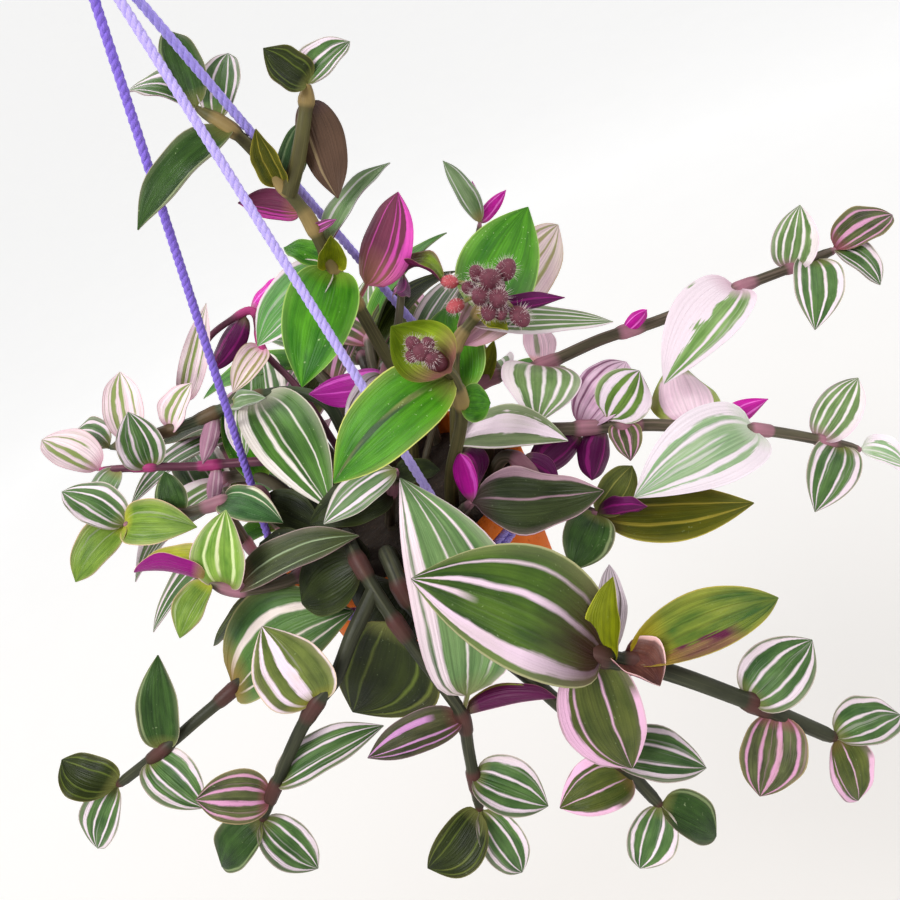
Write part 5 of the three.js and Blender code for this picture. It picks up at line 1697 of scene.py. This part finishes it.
growth = random.Random(7)
face_count = 0
for name, parts in plant.items():
    piece = dressed(name, parts, growth)
    finished(piece, name)
    face_count += len(piece.data.polygons)
print("The plant has", face_count, "faces")

# %% [markdown]
# The bud heads are tight clusters of small purple buds, furry with white hairs. One bud is a
# ball drawn to a point with three faint ridges, and each hair is a thin three-sided spike.

# %% A bud
HAIR_WIDTH = 0.07
HAIRS = 130
FEWER_HAIRS = 90
bpy.ops.object.select_all(action="DESELECT")
bpy.ops.mesh.primitive_ico_sphere_add(subdivisions=3, radius=1)
bud_blank = bpy.context.object
bud_points = []
for vertex in bud_blank.data.vertices:
    x, y, z = vertex.co
    ridge = 1 + 0.09 * math.cos(3 * math.atan2(y, x)) * (1 - abs(z))
    bud_points.append((x * 0.82 * ridge, y * 0.82 * ridge, z * 1.05 + 0.18 * max(z, 0) ** 3))
bud_points = np.array(bud_points)
bud_faces = [tuple(face.vertices) for face in bud_blank.data.polygons]
bpy.data.objects.remove(bud_blank)


def bud_paint():
    """Purple brown skin, paler where the hair is dense."""
    paint = Paint("bud")
    hair = paint.parts(paint.attribute("spot"))[0]
    skin = paint.cloud(paint.place(), 700, 3)
    colour = paint.mix(skin, paint.attribute("ground"), paint.attribute("deep"))
    colour = paint.mix(hair, colour, rgb(226, 206, 206))
    return paint.finish(Base_Color=colour, Roughness=0.7, Normal=paint.bump(skin, 0.4, 0.0003))


bud_skin = bud_paint()
hair_chance = random.Random(3)


def add_bud(shell, place, way, size, colours, hairs=HAIRS):
    """One furry bud that points along way."""
    turn = Vector(way).to_track_quat("Z", "Y").to_matrix()
    skin = np.array(place) + bud_points * size @ np.array(turn).T
    shell.add(skin, bud_faces, spot=np.zeros(3), **colours)
    for _ in range(hairs):
        out = Vector(hair_chance.gauss(lean, 1) for lean in (0, 0, 0.4)).normalized()
        out = turn @ out
        side = out.orthogonal().normalized() * HAIR_WIDTH
        foot = Vector(place) + out * size * 0.8
        end = Vector(place) + out * size * hair_chance.uniform(1.15, 1.6)
        ring = [foot + Quaternion(out, math.radians(120 * k)) @ side for k in range(3)]
        spike = np.array([tuple(p) for p in [*ring, end]])
        shell.add(spike, [(0, 2, 1), (0, 1, 3), (1, 2, 3), (2, 0, 3)], spot=np.array([1, 0, 0]), **colours)


def add_stalk(shell, start, end, radius, colours):
    """A thin stalk that bends a little."""
    middle = (start + end) / 2 + up * 1.2
    line = [start.lerp(middle, t).lerp(middle.lerp(end, t), t) for t in np.linspace(0, 1, 9)]
    points, faces = tube([tuple(p) for p in line], radius, 7)
    shell.add(points, faces, spot=np.zeros(3), **colours)


print("A bud has", len(bud_faces), "faces and", HAIRS, "hairs")

# %% [markdown]
# A head sits at the end of its stem. The buds lie round a bald core and lean towards the eye. In
# the upper head three more stand off on stalks, and two of those are red.

# %% Bud heads
CORE_SEAT = 0.9
STALK_RADIUS = 0.9
PURPLE_BUD = dict(ground=rgb(122, 56, 72), deep=rgb(66, 24, 38))
RED_BUD = dict(ground=rgb(196, 84, 92), deep=rgb(150, 60, 64))
GREEN_STALK = dict(ground=rgb(140, 132, 60), deep=rgb(110, 110, 50))
HIGH_BUDS = [(490, 280, 50, 5.2), (481, 296, 50, 4.4), (498, 298, 51, 4.6), (506, 270, 48, 4.6),
             (478, 274, 47, 3.8), (489, 312, 49, 3.8), (470, 288, 45, 3.2), (500, 312, 47, 3.4)]
STALKED_BUDS = [(519, 316, 47, 4.4, PURPLE_BUD), (456, 306, 44, 3.4, RED_BUD), (450, 282, 44, 3.2, RED_BUD)]
LOW_BUDS = [(422, 352, 99, 3.6), (414, 344, 98, 3), (431, 358, 98, 3), (413, 356, 97, 2.6),
            (428, 344, 97, 2.6)]


def bud_head(stem, core_size, buds, lean, hairs):
    """A shell with the buds at the end of a stem, and the middle of its core."""
    shell = Shell()
    stops = sampled(STEMS[stem]["path"])
    end, head = stops[-1][1], STEMS[stem]["head"]
    way = (end - stops[-2][1]).normalized()
    core = end + way * head * CORE_SEAT
    add_bud(shell, core, way, head * core_size, PURPLE_BUD, 0)
    for x, y, near, size in buds:
        spot = seen(x, y, near)
        add_bud(shell, spot, spot - core + back * lean, size, PURPLE_BUD, hairs)
    return shell, core


high, high_core = bud_head("stem_bud_high", 0.8, HIGH_BUDS, 3, HAIRS)
for x, y, near, size, colours in STALKED_BUDS:
    spot = seen(x, y, near)
    add_stalk(high, high_core, spot, STALK_RADIUS, GREEN_STALK)
    add_bud(high, spot, spot - high_core, size, colours)
finished(high.made("bud_head_high", bud_skin), "buds_high")
low, _ = bud_head("stem_bud_low", 0.9, LOW_BUDS, 4, FEWER_HAIRS)
finished(low.made("bud_head_low", bud_skin), "buds_low")
print("The bud heads have", len(high.faces) + len(low.faces), "faces")
